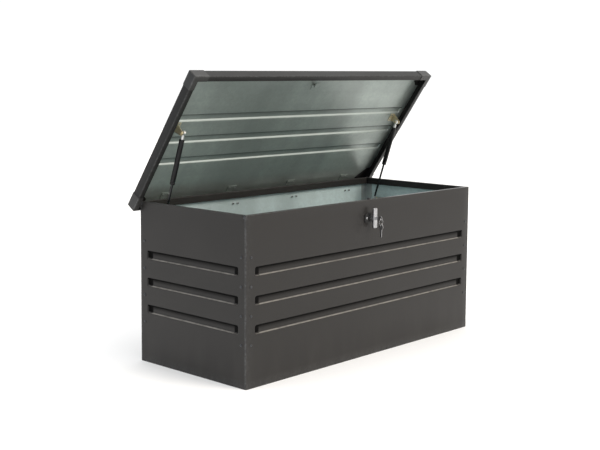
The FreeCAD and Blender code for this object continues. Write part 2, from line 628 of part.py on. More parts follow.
def make_corner_cap(long_name, side_name, y_sign, x_sign):
    """Folded cap over the joint of two rails: top, two outer faces and bottom."""
    cap = Piece(f"lid_cap_{long_name}_{side_name}", place_on_lid)
    y_edge, y_flange = corner_edges(y_sign)
    bottom_flange = y_flange if y_sign < 0 else "back_rail_lip"
    height = ("lid_bottom - cap_wall", "lid_top + cap_wall")
    cap.box(signed(x_sign, "lid_side - cap_front_leg", "lid_side + cap_wall"),
            signed(y_sign, y_edge, f"{y_edge} + cap_wall"), height)
    cap.box(signed(x_sign, "lid_side", "lid_side + cap_wall"),
            signed(y_sign, f"{y_edge} - cap_side_leg", f"{y_edge} + cap_wall"), height)
    top = corner_angle(x_sign, y_sign, y_flange, "cap_wall")
    bottom = corner_angle(x_sign, y_sign, bottom_flange, "cap_wall")
    cap.extrude("XY", [top], "lid_top", "cap_wall")
    cap.extrude("XY", [bottom], "lid_bottom - cap_wall", "cap_wall")


def make_corner_gussets():
    """Triangular plates under the lid sheet that tie two rails together at each corner."""
    plates = []
    for long_name, side_name, y_sign, x_sign in CORNERS:
        y_edge, y_flange = corner_edges(y_sign)
        x_in = "lid_side - rail_wall"
        y_in = f"{y_edge} - rail_wall"
        plan = [(x_in, y_in), (f"{x_in} - rail_width - gusset_leg", y_in),
                (f"{x_in} - rail_width - gusset_leg", f"{y_in} - {y_flange}"),
                (f"{x_in} - rail_width", f"{y_in} - {y_flange} - gusset_leg"),
                (x_in, f"{y_in} - {y_flange} - gusset_leg")]
        plate = Piece(f"gusset_{long_name}_{side_name}")
        plate.extrude("XY", [[(at(x_sign, x), at(y_sign, y)) for x, y in plan]],
                      "sheet_under - gusset_wall", "gusset_wall")
        plates.append(plate.body)
    whole = doc.addObject("Part::Compound", "lid_corner_gussets")
    whole.Label = "lid_corner_gussets"
    whole.Links = plates
    place_on_lid(whole)
    return whole


def rivet_places():
    """Lower seats of all rivets in the lid sheet: hinge leaves, strut brackets and keeper."""
    seat = "sheet_under - leaf_wall"
    spots = [(x, "lid_back - lid_leaf_rivet", seat) for x in leaf_hole_places()]
    for _, side in SIDES:
        for end in (-1, 1):
            spots.append((at(side, "plate_x - bracket_foot / 2 - leaf_wall / 2"),
                          f"pivot_y + {end} * bracket_rivet", seat))
        spots.append((at(side, "keeper_rivet"), "keeper_back + keeper_rivet_back", seat))
    return spots


def make_keeper():
    """Angle under the lid's front; the cam's lip passes over its ledge when the lid is locked."""
    keeper = Piece("lid_keeper", place_on_lid)
    wide = ("-keeper_half", "keeper_half")
    ledge_top = "lock_height + keeper_rise - hinge_z"
    keeper.box(wide, ("keeper_back - leaf_wall", "keeper_back"), (f"{ledge_top} - leaf_wall", "sheet_under"))
    keeper.box(wide, ("keeper_back - leaf_wall - keeper_ledge", "keeper_back"),
               (f"{ledge_top} - leaf_wall", ledge_top))
    keeper.box(wide, ("keeper_back - leaf_wall", "keeper_back + keeper_foot"),
               ("sheet_under - leaf_wall", "sheet_under"))
    holes = [(at(side, "keeper_rivet"), "keeper_back + keeper_rivet_back") for _, side in SIDES]
    keeper.holes("XY", holes, "rivet_radius", "sheet_under - leaf_wall", "leaf_wall")


# ---------------------------------------------------------------- gas struts

def make_strut_brackets(name, sign):
    """Bracket under the lid and bracket on the side panel, their plates in one plane."""
    bracket = Piece(f"strut_lid_bracket_{name}", place_on_lid)
    plate = signed(sign, "plate_x - leaf_wall", "plate_x")
    base = ("pivot_y - bracket_base_half", "pivot_y + bracket_base_half")
    bracket.box(plate, base, ("sheet_under - leaf_wall", "sheet_under"))
    bracket.extrude("YZ", [[("pivot_y - bracket_base_half", "sheet_under - leaf_wall / 2"),
                            ("pivot_y - bracket_end", "pivot_z"), ("pivot_y + bracket_end", "pivot_z"),
                            ("pivot_y + bracket_base_half", "sheet_under - leaf_wall / 2")]],
                    slab_start(sign, "plate_x - leaf_wall", "plate_x"), "leaf_wall")
    bracket.cylinder("x", plate, ("pivot_y", "pivot_z"), "bracket_end")
    bracket.box(signed(sign, "plate_x - bracket_foot", "plate_x"), base,
                ("sheet_under - leaf_wall", "sheet_under"))
    bracket.bore("x", plate, ("pivot_y", "pivot_z"), "stud_radius")
    holes = [(at(sign, "plate_x - bracket_foot / 2 - leaf_wall / 2"), f"pivot_y + {end} * bracket_rivet")
             for end in (-1, 1)]
    bracket.holes("XY", holes, "rivet_radius", "sheet_under - leaf_wall", "leaf_wall")

    bracket = Piece(f"strut_body_bracket_{name}")
    low = "strut_foot_height - bracket_half"
    high = "strut_foot_height + bracket_half"
    bracket.box(plate, ("strut_foot_y - bracket_half", "strut_foot_y + bracket_half"), (low, high))
    web = ("strut_foot_y + bracket_half - leaf_wall", "strut_foot_y + bracket_half")
    bracket.box(signed(sign, "plate_x - leaf_wall", "half_width - sheet_wall"), web, (low, high))
    foot = ("strut_foot_y + bracket_half - leaf_wall", "strut_foot_y + bracket_half + bracket_foot")
    wall = signed(sign, "half_width - sheet_wall - leaf_wall", "half_width - sheet_wall")
    bracket.box(wall, foot, (low, high))


def make_upper_studs():
    """Studs riveted into the lid brackets, on which the struts' upper eyes turn."""
    stud = Piece("strut_upper_stud")
    tip = "strut_inset - bracket_inset + eye_width / 2 + knuckle_gap"
    stud.cylinder("x", (f"-({tip}) - stud_head", "stud_head"), ("0", "0"), "stud_radius")
    stud.cylinder("x", ("0", "stud_head"), ("0", "0"), "stud_head_radius")
    stud.cylinder("x", (f"-({tip}) - stud_head", f"-({tip})"), ("0", "0"), "stud_head_radius")
    places_and_turns = [((at(side, "plate_x"), "pivot_y", "pivot_z"), ((0, 0, 1), 0 if side > 0 else 180))
                        for _, side in SIDES]
    group("strut_upper_studs", stud, places_and_turns, place_on_lid)


def make_strut(name, sign):
    """Tube with its upper eye, and rod with its piston, lower eye and stud."""
    centre = (at(sign, "strut_x"), "0")
    eye_span = signed(sign, "strut_x - eye_width / 2", "strut_x + eye_width / 2")
    fitting = Piece(f"strut_{name}_upper_eye", place_on_strut)
    fitting.cylinder("x", eye_span, ("0", "0"), "eye_radius")
    fitting.cylinder("z", ("-(eye_radius + waist_length)", "0"), centre, "waist_radius")
    fitting.cylinder("z", ("-tube_start", "-(eye_radius + waist_length)"), centre, "neck_radius")
    fitting.bore("x", eye_span, ("0", "0"), "stud_radius + pin_clearance")

    tube = Piece(f"strut_{name}_tube", place_on_strut)
    tube_end = "tube_start + tube_length"
    tube.cylinder("z", (f"-({tube_end})", "-tube_start"), centre, "tube_radius")
    tube.fillet("tube_crown", lambda edge, whole: edge.ZLength < NEAR)
    bore_end = f"-({tube_end} - tube_end_wall)"
    tube.bore("z", (bore_end, "-(tube_start + tube_end_wall)"), centre, "tube_bore")
    tube.bore("z", (f"-({tube_end})", bore_end), centre, "rod_radius + rod_clearance")

    rod = Piece(f"strut_{name}_rod", place_on_strut)
    piston_low = f"-({tube_end} - tube_end_wall - piston_gap)"
    socket = "-(strut_length - neck_length + socket_depth)"
    rod.cylinder("z", (piston_low, f"{piston_low} + piston_length"), centre, "tube_bore - piston_clearance")
    rod.cylinder("z", (socket, piston_low), centre, "rod_radius")

    eye = Piece(f"strut_{name}_lower_eye", place_on_strut)
    eye.cylinder("x", eye_span, ("0", "-strut_length"), "eye_radius")
    waist = "strut_length - eye_radius - waist_length"
    eye.cylinder("z", ("-strut_length", f"-({waist})"), centre, "waist_radius")
    eye.cylinder("z", (f"-({waist})", "-(strut_length - neck_length)"), centre, "neck_radius")
    eye.bore("z", (socket, "-(strut_length - neck_length)"), centre, "rod_radius")
    eye.bore("x", eye_span, ("0", "-strut_length"), "stud_radius")

    stud = Piece(f"strut_{name}_lower_stud", place_on_strut)
    outer = "plate_x - leaf_wall - open_pivot_gap"
    head_in = "strut_x - eye_width / 2"
    foot = ("0", "-strut_length")
    stud.cylinder("x", signed(sign, head_in, outer), foot, "stud_radius")
    for head_out in (head_in, outer):
        stud.cylinder("x", signed(sign, f"{head_out} - stud_head", head_out), foot, "stud_head_radius")


# ---------------------------------------------------------------- lock

CENTRE = ("0", "lock_height")


def lock_plate(label, front, back):
    """Round-cornered plate round the lock's hole, with its two screw holes."""
    plate = Piece(label)
    plate.box(("-lock_plate_width / 2", "lock_plate_width / 2"), (front, back),
              ("lock_height - lock_plate_height / 2", "lock_height + lock_plate_height / 2"))
    plate.fillet("lock_plate_corner", lambda edge, whole: edge.YLength > whole.YLength - NEAR)
    plate.bore("y", (front, back), CENTRE, "housing_radius + hole_gap")
    for _, side in SIDES:
        plate.bore("y", (front, back), (at(side, "lock_screw_pitch / 2"), "lock_height"), "lock_screw_radius")


def make_lock_mount():
    """Gasket, face plate, its screws, the threaded housing and its nut."""
    lock_plate("lock_gasket", "panel_front - gasket_wall", "panel_front")
    lock_plate("lock_face_plate", "plate_front", "panel_front - gasket_wall")
    screw = Piece("lock_screw")
    screw.cylinder("z", ("0", "lock_screw_head"), ("0", "0"), "lock_screw_head_radius")
    screw.fillet("lock_screw_crown", lambda edge, whole: edge.ZMin > whole.ZMax - NEAR)
    screw.cylinder("z", ("-lock_screw_length", "0"), ("0", "0"), "lock_screw_radius")
    spots = [((at(side, "lock_screw_pitch / 2"), "plate_front", "lock_height"), WALLS["front"])
             for _, side in SIDES]
    group("lock_plate_screws", screw, spots)
    housing = Piece("lock_housing")
    housing.cylinder("y", ("housing_front", "plate_front"), CENTRE, "housing_flange_radius")
    housing.cylinder("y", ("plate_front", "plate_front + housing_length"), CENTRE, "housing_radius")
    housing.bore("y", ("housing_front", "plate_front + housing_length"), CENTRE,
                 "shaft_radius + pin_clearance")
    nut = Piece("housing_nut")
    nut.hexagon("housing_nut_radius", "-housing_nut", "0")
    nut.bore("z", ("-housing_nut", "0"), ("0", "0"), "housing_radius")
    group("lock_housing_nut", nut, [(("0", "panel_front + sheet_wall", "lock_height"), WALLS["front"])])


def make_handle():
    """T-handle: a grip bar across a boss, and the shaft that carries the cam."""
    handle = Piece("lock_handle")
    handle.box(("-handle_width / 2", "handle_width / 2"), ("grip_front", "grip_back"),
               ("lock_height - handle_length / 2", "lock_height + handle_length / 2"))
    handle.fillet("handle_corner", lambda edge, whole: True)
    handle.cylinder("y", ("grip_back", "housing_front - boss_gap"), CENTRE, "boss_radius")
    handle.cylinder("y", ("grip_back", "cam_front - boss_gap"), CENTRE, "shaft_radius")
    half = "shaft_tip_half"
    handle.box((f"-{half}", half), ("cam_front - boss_gap", "cam_back + cam_nut + shaft_end"),
               (f"lock_height - {half}", f"lock_height + {half}"))
    handle.bore("y", ("grip_front", "grip_front + plug_depth"), CENTRE, "plug_radius + pin_clearance")


def make_cam():
    """Cam plate with a lip bent backwards at its tip, and the nut that holds it on the shaft."""
    cam = Piece("lock_cam")
    band = ("lock_height - cam_half", "lock_height + cam_half")
    cam.cylinder("y", ("cam_front", "cam_back"), CENTRE, "cam_eye_radius")
    cam.box(("-cam_reach", "0"), ("cam_front", "cam_back"), band)
    cam.box(("-cam_reach", "-(cam_reach - cam_wall)"), ("cam_front", "cam_back + cam_lip"), band)
    half = "shaft_tip_half"
    cam.cut_box((f"-{half}", half), ("cam_front", "cam_back"),
                (f"lock_height - {half}", f"lock_height + {half}"))
    nut = Piece("cam_nut_blank")
    nut.hexagon("cam_nut_radius", "-cam_nut", "0")
    nut.cut_box((f"-{half}", half), (f"-{half}", half), ("-cam_nut", "0"))
    group("lock_cam_nut", nut, [(("0", "cam_back", "lock_height"), WALLS["front"])])


def make_plug():
    """Cylinder plug with a bright face and a keyway."""
    plug = Piece("lock_plug")
    plug.cylinder("y", ("key_seat", "key_seat + plug_face"), CENTRE, "plug_face_radius")
    plug.fillet("plug_crown", lambda edge, whole: edge.YMax < whole.YMin + NEAR)
    plug.cylinder("y", ("key_seat", "grip_front + plug_depth - plug_face_gap"), CENTRE, "plug_radius")
    plug.cut_box(("-(key_wall / 2 + keyway_gap)", "key_wall / 2 + keyway_gap"),
                 ("key_seat", "key_seat + key_blade + keyway_gap"),
                 ("lock_height - key_blade_half - keyway_gap", "lock_height + key_blade_half + keyway_gap"))


def draw_key(label, pose=stay):
    """Flat key: its shoulder at the origin, the blade along +Y, the bow along -Y."""
    key = Piece(label, pose)
    thick = ("-key_wall / 2", "key_wall / 2")
    bow_y = "-(key_neck + key_bow_radius - key_lap)"
    key.cylinder("x", thick, (bow_y, "0"), "key_bow_radius")
    key.box(thick, (bow_y, "0"), ("-key_neck_half", "key_neck_half"))
    key.box(thick, ("0", "key_blade"), ("-key_blade_half", "key_blade_half"))
    key.bore("x", thick, (f"{bow_y} - key_hole_offset", "0"), "key_hole_radius")
    notches = []
    for index in range(4):
        middle = f"(key_blade - {index + 1} * key_notch_pitch + key_notch)"
        notches.append([(f"{middle} - key_notch", "key_blade_half"),
                        (middle, f"key_blade_half - {'key_notch' if index % 2 else 'key_low_notch'}"),
                        (f"{middle} + key_notch", "key_blade_half")])
    key.pocket("YZ", notches, "-key_wall / 2", "key_wall")
    return key


def make_keys():
    """Key in the plug, split ring through its bow, and the spare key hanging from the ring."""
    def in_lock(feature):
        bind(feature, Placement__Base__y="key_seat", Placement__Base__z="lock_height")

    def hanging(feature):
        turn_to(feature, (1, 0, 0), -90)
        bow_to_hole = "key_neck + key_bow_radius - key_lap + key_hole_offset"
        hole_z = "ring_top - 2 * ring_radius - key_hole_radius + ring_wire + ring_gap"
        bind(feature, Placement__Base__y="ring_y", Placement__Base__z=f"{hole_z} - ({bow_to_hole})")

    draw_key("key", in_lock)
    draw_key("spare_key", hanging)
    ring = doc.addObject("Part::Torus", "key_ring")
    ring.Label = "key_ring"
    turn_to(ring, (1, 0, 0), 90)
    bind(ring, Radius1="ring_radius", Radius2="ring_wire", Placement__Base__y="ring_y",
         Placement__Base__z="ring_top - ring_radius")
    return ring


def make_buffer():
    """Rubber stop pressed into the front rim, on which the shut lid rests."""
    buffer = Piece("rim_buffer")
    middle = ("0", "panel_front + rim_flange / 2")
    buffer.cylinder("z", ("body_height", "body_height + lid_gap - buffer_gap"), middle, "buffer_radius")
    buffer.fillet("buffer_crown", lambda edge, whole: edge.ZMin > whole.ZMax - NEAR)
    buffer.cylinder("z", ("body_height - buffer_stem", "body_height"), middle, "buffer_stem_radius")


# ---------------------------------------------------------------- assembly

def build():
    """Make every sub-part."""
    make_front_panel()
    make_back_panel()
    make_floor()
    for corner in CORNERS:
        make_corner_post(*corner)
        make_corner_cap(*corner)
    for name, sign in SIDES:
        make_side_panel(name, sign)
        make_side_rail(name, sign)
        make_strut_brackets(name, sign)
        make_strut(name, sign)
    make_body_fasteners()
    for index in range(HINGE_COUNT):
        make_hinge(index)
    make_hinge_pins()
    make_lid_sheet()
    make_long_rail("front", -1, "rail_width")
    make_long_rail("back", 1, "back_rail_lip")
    make_corner_gussets()
    group("lid_rivets", make_rivet(), [(spot, AXIS_TURN["z"]) for spot in rivet_places()], place_on_lid)
    make_keeper()
    make_upper_studs()
    make_lock_mount()
    make_handle()
    make_cam()
    make_plug()
    make_keys()
    make_buffer()
    doc.recompute()


def sub_parts():
    """The finished sub-parts: bodies that no group uses, the groups and the ring."""
    used = set()
    for item in doc.Objects:
        if item.TypeId == "Part::Compound":
            for link in item.Links:
                used.add(link.LinkedObject.Name if link.TypeId == "App::Link" else link.Name)
    kinds = ("PartDesign::Body", "Part::Compound", "Part::Torus")
    return [item for item in doc.Objects if item.TypeId in kinds and item.Name not in used]


def check():
    """Stop if any object failed or any sub-part's shape is empty or invalid."""
    for item in doc.Objects:
        if "Invalid" in item.State or "Error" in item.State:
            raise RuntimeError(f"{item.Name} failed: {item.State}")
    for part in sub_parts():
        if part.Shape.isNull() or not part.Shape.isValid() or not part.Shape.Solids:
            raise RuntimeError(f"{part.Label} has no valid solid")


def export():
    """Write one STEP file for each sub-part."""
    os.makedirs("parts", exist_ok=True)
    for part in sub_parts():
        part.Shape.exportStep(f"parts/{part.Label}.step")
        print(f"{part.Label}: {len(part.Shape.Solids)} solid(s), {part.Shape.Volume / 1000:.2f} cm3")


build()
check()
export()
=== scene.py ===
"""Looks of a deck storage box of folded sheet steel, its lid propped open on two gas struts.

Every piece is in metres in the row frame: the origin is at the middle of the box's footprint on the
floor, +X to the right, +Y to the hinges, +Z up.  Lid pieces are drawn with the lid shut, measured
from the hinge's axis, and then turned open about it.
"""
import json
import logging
import math
from dataclasses import dataclass, field
from enum import Enum
from typing import Callable, Sequence

import bmesh
import bpy
import numpy as np
from mathutils import Matrix, Vector


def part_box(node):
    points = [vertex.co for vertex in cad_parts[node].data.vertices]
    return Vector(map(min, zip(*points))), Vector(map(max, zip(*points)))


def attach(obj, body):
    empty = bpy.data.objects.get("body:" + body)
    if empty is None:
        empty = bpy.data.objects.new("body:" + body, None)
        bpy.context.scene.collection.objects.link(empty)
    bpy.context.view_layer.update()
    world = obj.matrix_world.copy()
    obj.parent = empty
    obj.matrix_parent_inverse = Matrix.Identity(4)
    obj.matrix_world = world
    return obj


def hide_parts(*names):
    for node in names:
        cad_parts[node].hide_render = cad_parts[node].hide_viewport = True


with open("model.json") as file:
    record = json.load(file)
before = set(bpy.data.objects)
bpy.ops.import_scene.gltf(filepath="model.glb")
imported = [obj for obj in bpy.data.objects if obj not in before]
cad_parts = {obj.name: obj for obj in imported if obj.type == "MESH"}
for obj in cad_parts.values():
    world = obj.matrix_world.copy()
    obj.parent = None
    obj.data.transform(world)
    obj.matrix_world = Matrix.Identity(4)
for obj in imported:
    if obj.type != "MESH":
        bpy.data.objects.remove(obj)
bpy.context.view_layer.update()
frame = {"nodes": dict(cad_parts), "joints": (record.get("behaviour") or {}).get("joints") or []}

LOG = logging.getLogger("deck_box")
SHEET_CREASE = 38.0
CASTING_CREASE = 32.0
LATHE_STEPS = 40


# ------------------------------------------------------------------ node helpers

class Tree:
    """A short way to write a node tree."""

    def __init__(self, tree: bpy.types.NodeTree) -> None:
        """Start with an empty tree."""
        self.tree = tree
        tree.nodes.clear()

    def add(self, kind: str, inputs: dict | None = None, **settings: object) -> bpy.types.Node:
        """Add a node.

        Args:
            kind: the node's type name without "ShaderNode".
            inputs: values or other nodes' sockets, by socket name or number.
            settings: plain properties of the node.

        Returns:
            The new node.
        """
        node = self.tree.nodes.new("ShaderNode" + kind)
        for name, setting in settings.items():
            setattr(node, name, setting)
        for name, source in (inputs or {}).items():
            if isinstance(source, bpy.types.NodeSocket):
                self.tree.links.new(source, node.inputs[name])
            else:
                node.inputs[name].default_value = source
        return node

    def place(self) -> bpy.types.NodeSocket:
        """The surface point in Object coordinates, which are metres in the row frame."""
        return self.add("TexCoord").outputs["Object"]

    def stretched(self, scale: Sequence[float]) -> bpy.types.NodeSocket:
        """Object coordinates multiplied by a scale along each axis."""
        return self.add("Mapping", {"Vector": self.place(), "Scale": tuple(scale)}).outputs["Vector"]

    def noise(self, scale: float, detail: float = 2.0, vector: bpy.types.NodeSocket | None = None,
              roughness: float = 0.5) -> bpy.types.NodeSocket:
        """Soft noise from 0 to 1; `scale` is in blotches per metre."""
        inputs = {"Vector": vector or self.place(), "Scale": scale, "Detail": detail, "Roughness": roughness}
        return self.add("TexNoise", inputs).outputs["Fac"]

    def spread(self, source: bpy.types.NodeSocket, low: float, high: float, to_low: float = 0.0,
               to_high: float = 1.0) -> bpy.types.NodeSocket:
        """Map low..high of a value to to_low..to_high and hold it there outside."""
        inputs = {"Value": source, "From Min": low, "From Max": high, "To Min": to_low, "To Max": to_high}
        return self.add("MapRange", inputs, interpolation_type="SMOOTHSTEP").outputs["Result"]

    def math(self, operation: str, first: object, second: object = 0.0) -> bpy.types.NodeSocket:
        """One arithmetic step on two values."""
        return self.add("Math", {0: first, 1: second}, operation=operation).outputs["Value"]

    def blend(self, factor: object, first: object, second: object, kind: str = "MIX") -> bpy.types.NodeSocket:
        """Mix two colours by a factor."""
        node = self.add("Mix", {0: factor, 6: first, 7: second}, data_type="RGBA", blend_type=kind)
        return node.outputs[2]

    def bump(self, height: bpy.types.NodeSocket, strength: float, distance: float,
             under: bpy.types.NodeSocket | None = None) -> bpy.types.NodeSocket:
        """Turn a height into a surface normal, over another bump if one is given."""
        inputs = {"Height": height, "Strength": strength, "Distance": distance}
        if under is not None:
            inputs["Normal"] = under
        return self.add("Bump", inputs).outputs["Normal"]

    def surface(self, inputs: dict) -> None:
        """End the tree in one physically based shader."""
        shader = self.add("BsdfPrincipled", inputs)
        self.add("OutputMaterial", {"Surface": shader.outputs[0]})


def rgba(colour: Sequence[float], gain: float = 1.0) -> tuple[float, float, float, float]:
    """A linear colour with its opacity, brightened by a gain."""
    return (colour[0] * gain, colour[1] * gain, colour[2] * gain, 1.0)


# ------------------------------------------------------------------ finishes

@dataclass(frozen=True)
class Finish:
    """A finish: its name, its colour, and the material that it makes once."""

    name: str
    colour: tuple[float, float, float]
    roughness: float = 0.4

    def dress(self, tree: Tree) -> None:
        """Build the node tree."""
        raise NotImplementedError

    def material(self) -> bpy.types.Material:
        """The finish's material, made when it is first asked for."""
        found = bpy.data.materials.get(self.name)
        if found:
            return found
        made = bpy.data.materials.new(self.name)
        made.use_nodes = True
        made.diffuse_color = rgba(self.colour)
        self.dress(Tree(made.node_tree))
        return made


@dataclass(frozen=True)
class PowderCoat(Finish):
    """Baked polyester powder on steel: fine orange peel, dust near the floor, painted highlight on the ribs'
    upward slopes, painted shade under their edges, rubbed folds.
    """

    dust: tuple[float, float, float] = (0.085, 0.080, 0.074)
    # Next: the colour of the painted highlight on upward slopes, the rubbed folds' colour, and how bright the
    # coat stays in the painted shade.
    ledge_highlight: tuple[float, float, float] = (0.34, 0.32, 0.29)
    rubbed: tuple[float, float, float] = (0.16, 0.163, 0.165)
    painted_shade_gain: float = 0.10
    gleam: float = 0.42
    dust_height: float = 0.22
    wear_share: float = 0.42
    fleck_scale: float = 1100.0
    peel_scale: float = 420.0
    grain_scale: float = 2600.0

    def dress(self, tree: Tree) -> None:
        """Cloudy colour, dust by height, painted highlight and painted shade from a point attribute, worn
        folds by the mesh's own wear, fine peel.
        """
        colour = tree.blend(tree.noise(3.2, 3.0), rgba(self.colour, 0.93), rgba(self.colour, 1.07))
        fleck = tree.spread(tree.noise(self.fleck_scale, 1.0), 0.64, 0.82, 0.0, 0.18)
        colour = tree.blend(fleck, colour, rgba(self.colour, 1.35))
        height = tree.add("SeparateXYZ", {0: tree.place()}).outputs["Z"]
        low = tree.spread(height, 0.0, self.dust_height, 1.0, 0.0)
        streak = tree.noise(1.0, 3.0, tree.stretched((18.0, 18.0, 4.0)))
        colour = tree.blend(tree.math("MULTIPLY", low, tree.spread(streak, 0.35, 0.75, 0.02, 0.12)), colour,
                            rgba(self.dust))
        # Painted highlight in a light warm colour where the point attribute is positive (upward slopes);
        # painted shade, near black and less specular, where it is negative.
        ledge = tree.add("Attribute", attribute_name="ledge").outputs["Fac"]
        ledge_highlight = tree.math("MULTIPLY", tree.spread(ledge, 0.35, 1.0, 0.0, 0.70),
                            tree.spread(tree.noise(38.0, 3.0), 0.25, 0.65, 0.55, 1.0))
        colour = tree.blend(ledge_highlight, colour, rgba(self.ledge_highlight))
        under = tree.spread(tree.math("MULTIPLY", ledge, -1.0), 0.0, 0.75)
        colour = tree.blend(under, colour, rgba(self.colour, self.painted_shade_gain))
        wear = tree.add("Attribute", attribute_name="wear").outputs["Fac"]
        patchy = tree.spread(tree.noise(130.0, 3.0), 0.40, 0.66, 0.35, 1.0)
        rubbed = tree.math("MULTIPLY", tree.math("MULTIPLY", wear, patchy), self.wear_share)
        colour = tree.blend(rubbed, colour, rgba(self.rubbed))
        uneven = tree.spread(tree.noise(7.0, 4.0), 0.3, 0.7, self.roughness - 0.03, self.roughness + 0.05)
        dull = tree.math("MULTIPLY", tree.math("ADD", ledge_highlight, under), 0.25)
        rough = tree.math("ADD", uneven, tree.math("SUBTRACT", dull, tree.math("MULTIPLY", rubbed, 0.10)))
        peel = tree.bump(tree.noise(self.peel_scale, 2.0), 0.14, 0.0003)
        grain = tree.bump(tree.noise(self.grain_scale, 1.0), 0.08, 0.0001, peel)
        gleam = tree.spread(under, 0.0, 1.0, self.gleam, 0.05)
        tree.surface({"Base Color": colour, "Roughness": rough, "Normal": grain, "Specular IOR Level": gleam})


@dataclass(frozen=True)
class Galvanised(Finish):
    """Hot-dip zinc sheet: crystals a centimetre across, faint rolling streaks, dull bloom, painted highlight
    and painted shade on the ribs.
    """

    dull: tuple[float, float, float] = (0.36, 0.40, 0.39)
    lit: tuple[float, float, float] = (0.50, 0.56, 0.54)
    metal: float = 0.35
    crystals: float = 95.0
    ripple_scale: float = 210.0
    streak: tuple[float, float, float] = (1.2, 30.0, 30.0)

    def dress(self, tree: Tree) -> None:
        """Voronoi crystals of two sizes tint the zinc over a faintly rippled skin, with painted highlight and
        painted shade from a point attribute.
        """
        warp = tree.noise(40.0, 2.0)
        bent = tree.add("VectorMath", {0: tree.place(), 1: tree.add(
            "CombineXYZ", {0: tree.math("MULTIPLY", warp, 0.012), 1: tree.math("MULTIPLY", warp, 0.009)}
        ).outputs[0]}, operation="ADD").outputs[0]
        big = tree.add("TexVoronoi", {"Vector": bent, "Scale": self.crystals, "Randomness": 1.0})
        small = tree.add("TexVoronoi", {"Vector": bent, "Scale": self.crystals * 2.6, "Randomness": 1.0})
        shade = tree.add("SeparateColor", {0: big.outputs["Color"]}).outputs[0]
        shade_small = tree.add("SeparateColor", {0: small.outputs["Color"]}).outputs[1]
        crystal = tree.math("ADD", tree.math("MULTIPLY", shade, 0.65),
                            tree.math("MULTIPLY", shade_small, 0.35))
        colour = tree.blend(crystal, rgba(self.colour, 0.92), rgba(self.colour, 1.08))
        rolled = tree.noise(1.0, 3.0, tree.stretched(self.streak))
        colour = tree.blend(tree.spread(rolled, 0.35, 0.7, 0.0, 0.30), colour, rgba(self.colour, 0.74))
        band = tree.spread(tree.noise(1.0, 2.0, tree.stretched((5.0, 0.9, 0.9))), 0.30, 0.70)
        colour = tree.blend(band, tree.blend(0.6, colour, rgba(self.colour, 0.52)), colour)
        bloom = tree.spread(tree.noise(3.2, 5.0, roughness=0.6), 0.42, 0.68, 0.0, 0.5)
        colour = tree.blend(tree.math("MULTIPLY", bloom, 0.30), colour, rgba(self.dull))
        # Painted highlight in the lit colour where the point attribute is positive, painted shade near black
        # where it is negative.
        ledge = tree.add("Attribute", attribute_name="ledge").outputs["Fac"]
        colour = tree.blend(tree.spread(ledge, 0.3, 1.0, 0.0, 0.8), colour, rgba(self.lit))
        under = tree.spread(tree.math("MULTIPLY", ledge, -1.0), 0.0, 0.7, 0.0, 0.97)
        colour = tree.blend(under, colour, rgba(self.colour, 0.10))
        rough = tree.spread(bloom, 0.0, 0.5, self.roughness, self.roughness + 0.14)
        relief = tree.bump(tree.noise(self.ripple_scale, 3.0), 0.06, 0.0002)
        tree.surface({"Base Color": colour, "Metallic": self.metal, "Roughness": rough, "Normal": relief})


@dataclass(frozen=True)
class Plating(Finish):
    """Zinc, chrome or nitrided plating on small fittings: smears, hairlines and tarnish."""

    tarnish: tuple[float, float, float] = (0.30, 0.30, 0.30)
    tarnished: float = 0.35
    hairline: tuple[float, float, float] = (900.0, 900.0, 60.0)
    metal: float = 1.0

    def dress(self, tree: Tree) -> None:
        """Blotchy tarnish over bright metal, with fine lines in its roughness."""
        blotch = tree.spread(tree.noise(170.0, 4.0), 0.38, 0.66, 0.0, self.tarnished)
        colour = tree.blend(blotch, rgba(self.colour), rgba(self.tarnish))
        lines = tree.noise(1.0, 2.0, tree.stretched(self.hairline))
        smear = tree.noise(65.0, 3.0)
        rough = tree.math("ADD", tree.math("MULTIPLY", lines, 0.10), tree.math("MULTIPLY", smear, 0.16))
        rough = tree.math("ADD", rough, self.roughness - 0.10)
        relief = tree.bump(lines, 0.06, 0.0001)
        tree.surface({"Base Color": colour, "Metallic": self.metal, "Roughness": rough, "Normal": relief})


@dataclass(frozen=True)
class Enamel(Finish):
    """Black paint on a tube or a casting: thin clear gloss, a little dust and fine scuffs."""

    gloss: float = 0.5
    grain: float = 700.0
    depth: float = 0.00012

    def dress(self, tree: Tree) -> None:
        """Near-black with dusty clouds, scuffs in the gloss and a fine grain."""
        dusty = tree.spread(tree.noise(34.0, 4.0), 0.45, 0.75, 0.0, 0.30)
        colour = tree.blend(dusty, rgba(self.colour), rgba(self.colour, 2.6))
        scuff = tree.spread(tree.noise(1.0, 3.0, tree.stretched((300.0, 300.0, 34.0))), 0.55, 0.72, 0.0, 0.2)
        smear = tree.spread(tree.noise(60.0), 0.3, 0.7, self.roughness, self.roughness + 0.1)
        rough = tree.math("ADD", scuff, smear)
        relief = tree.bump(tree.noise(self.grain, 2.0), 0.18, self.depth)
        tree.surface({"Base Color": colour, "Roughness": rough, "Normal": relief, "Coat Weight": self.gloss,
                      "Coat Roughness": 0.16, "Specular IOR Level": 0.2})


@dataclass(frozen=True)
class Rubber(Finish):
    """Black vulcanised rubber with a grey bloom."""

    greyed: tuple[float, float, float] = (0.045, 0.045, 0.044)

    def dress(self, tree: Tree) -> None:
        """Matt black that greys in patches over a pebbled skin."""
        bloom = tree.spread(tree.noise(120.0, 4.0), 0.4, 0.7, 0.0, 0.5)
        colour = tree.blend(bloom, rgba(self.colour), rgba(self.greyed))
        rough = tree.spread(bloom, 0.0, 0.5, self.roughness, self.roughness + 0.12)
        relief = tree.bump(tree.noise(1500.0, 2.0), 0.3, 0.00015)
        tree.surface({"Base Color": colour, "Roughness": rough, "Normal": relief, "Specular IOR Level": 0.3})


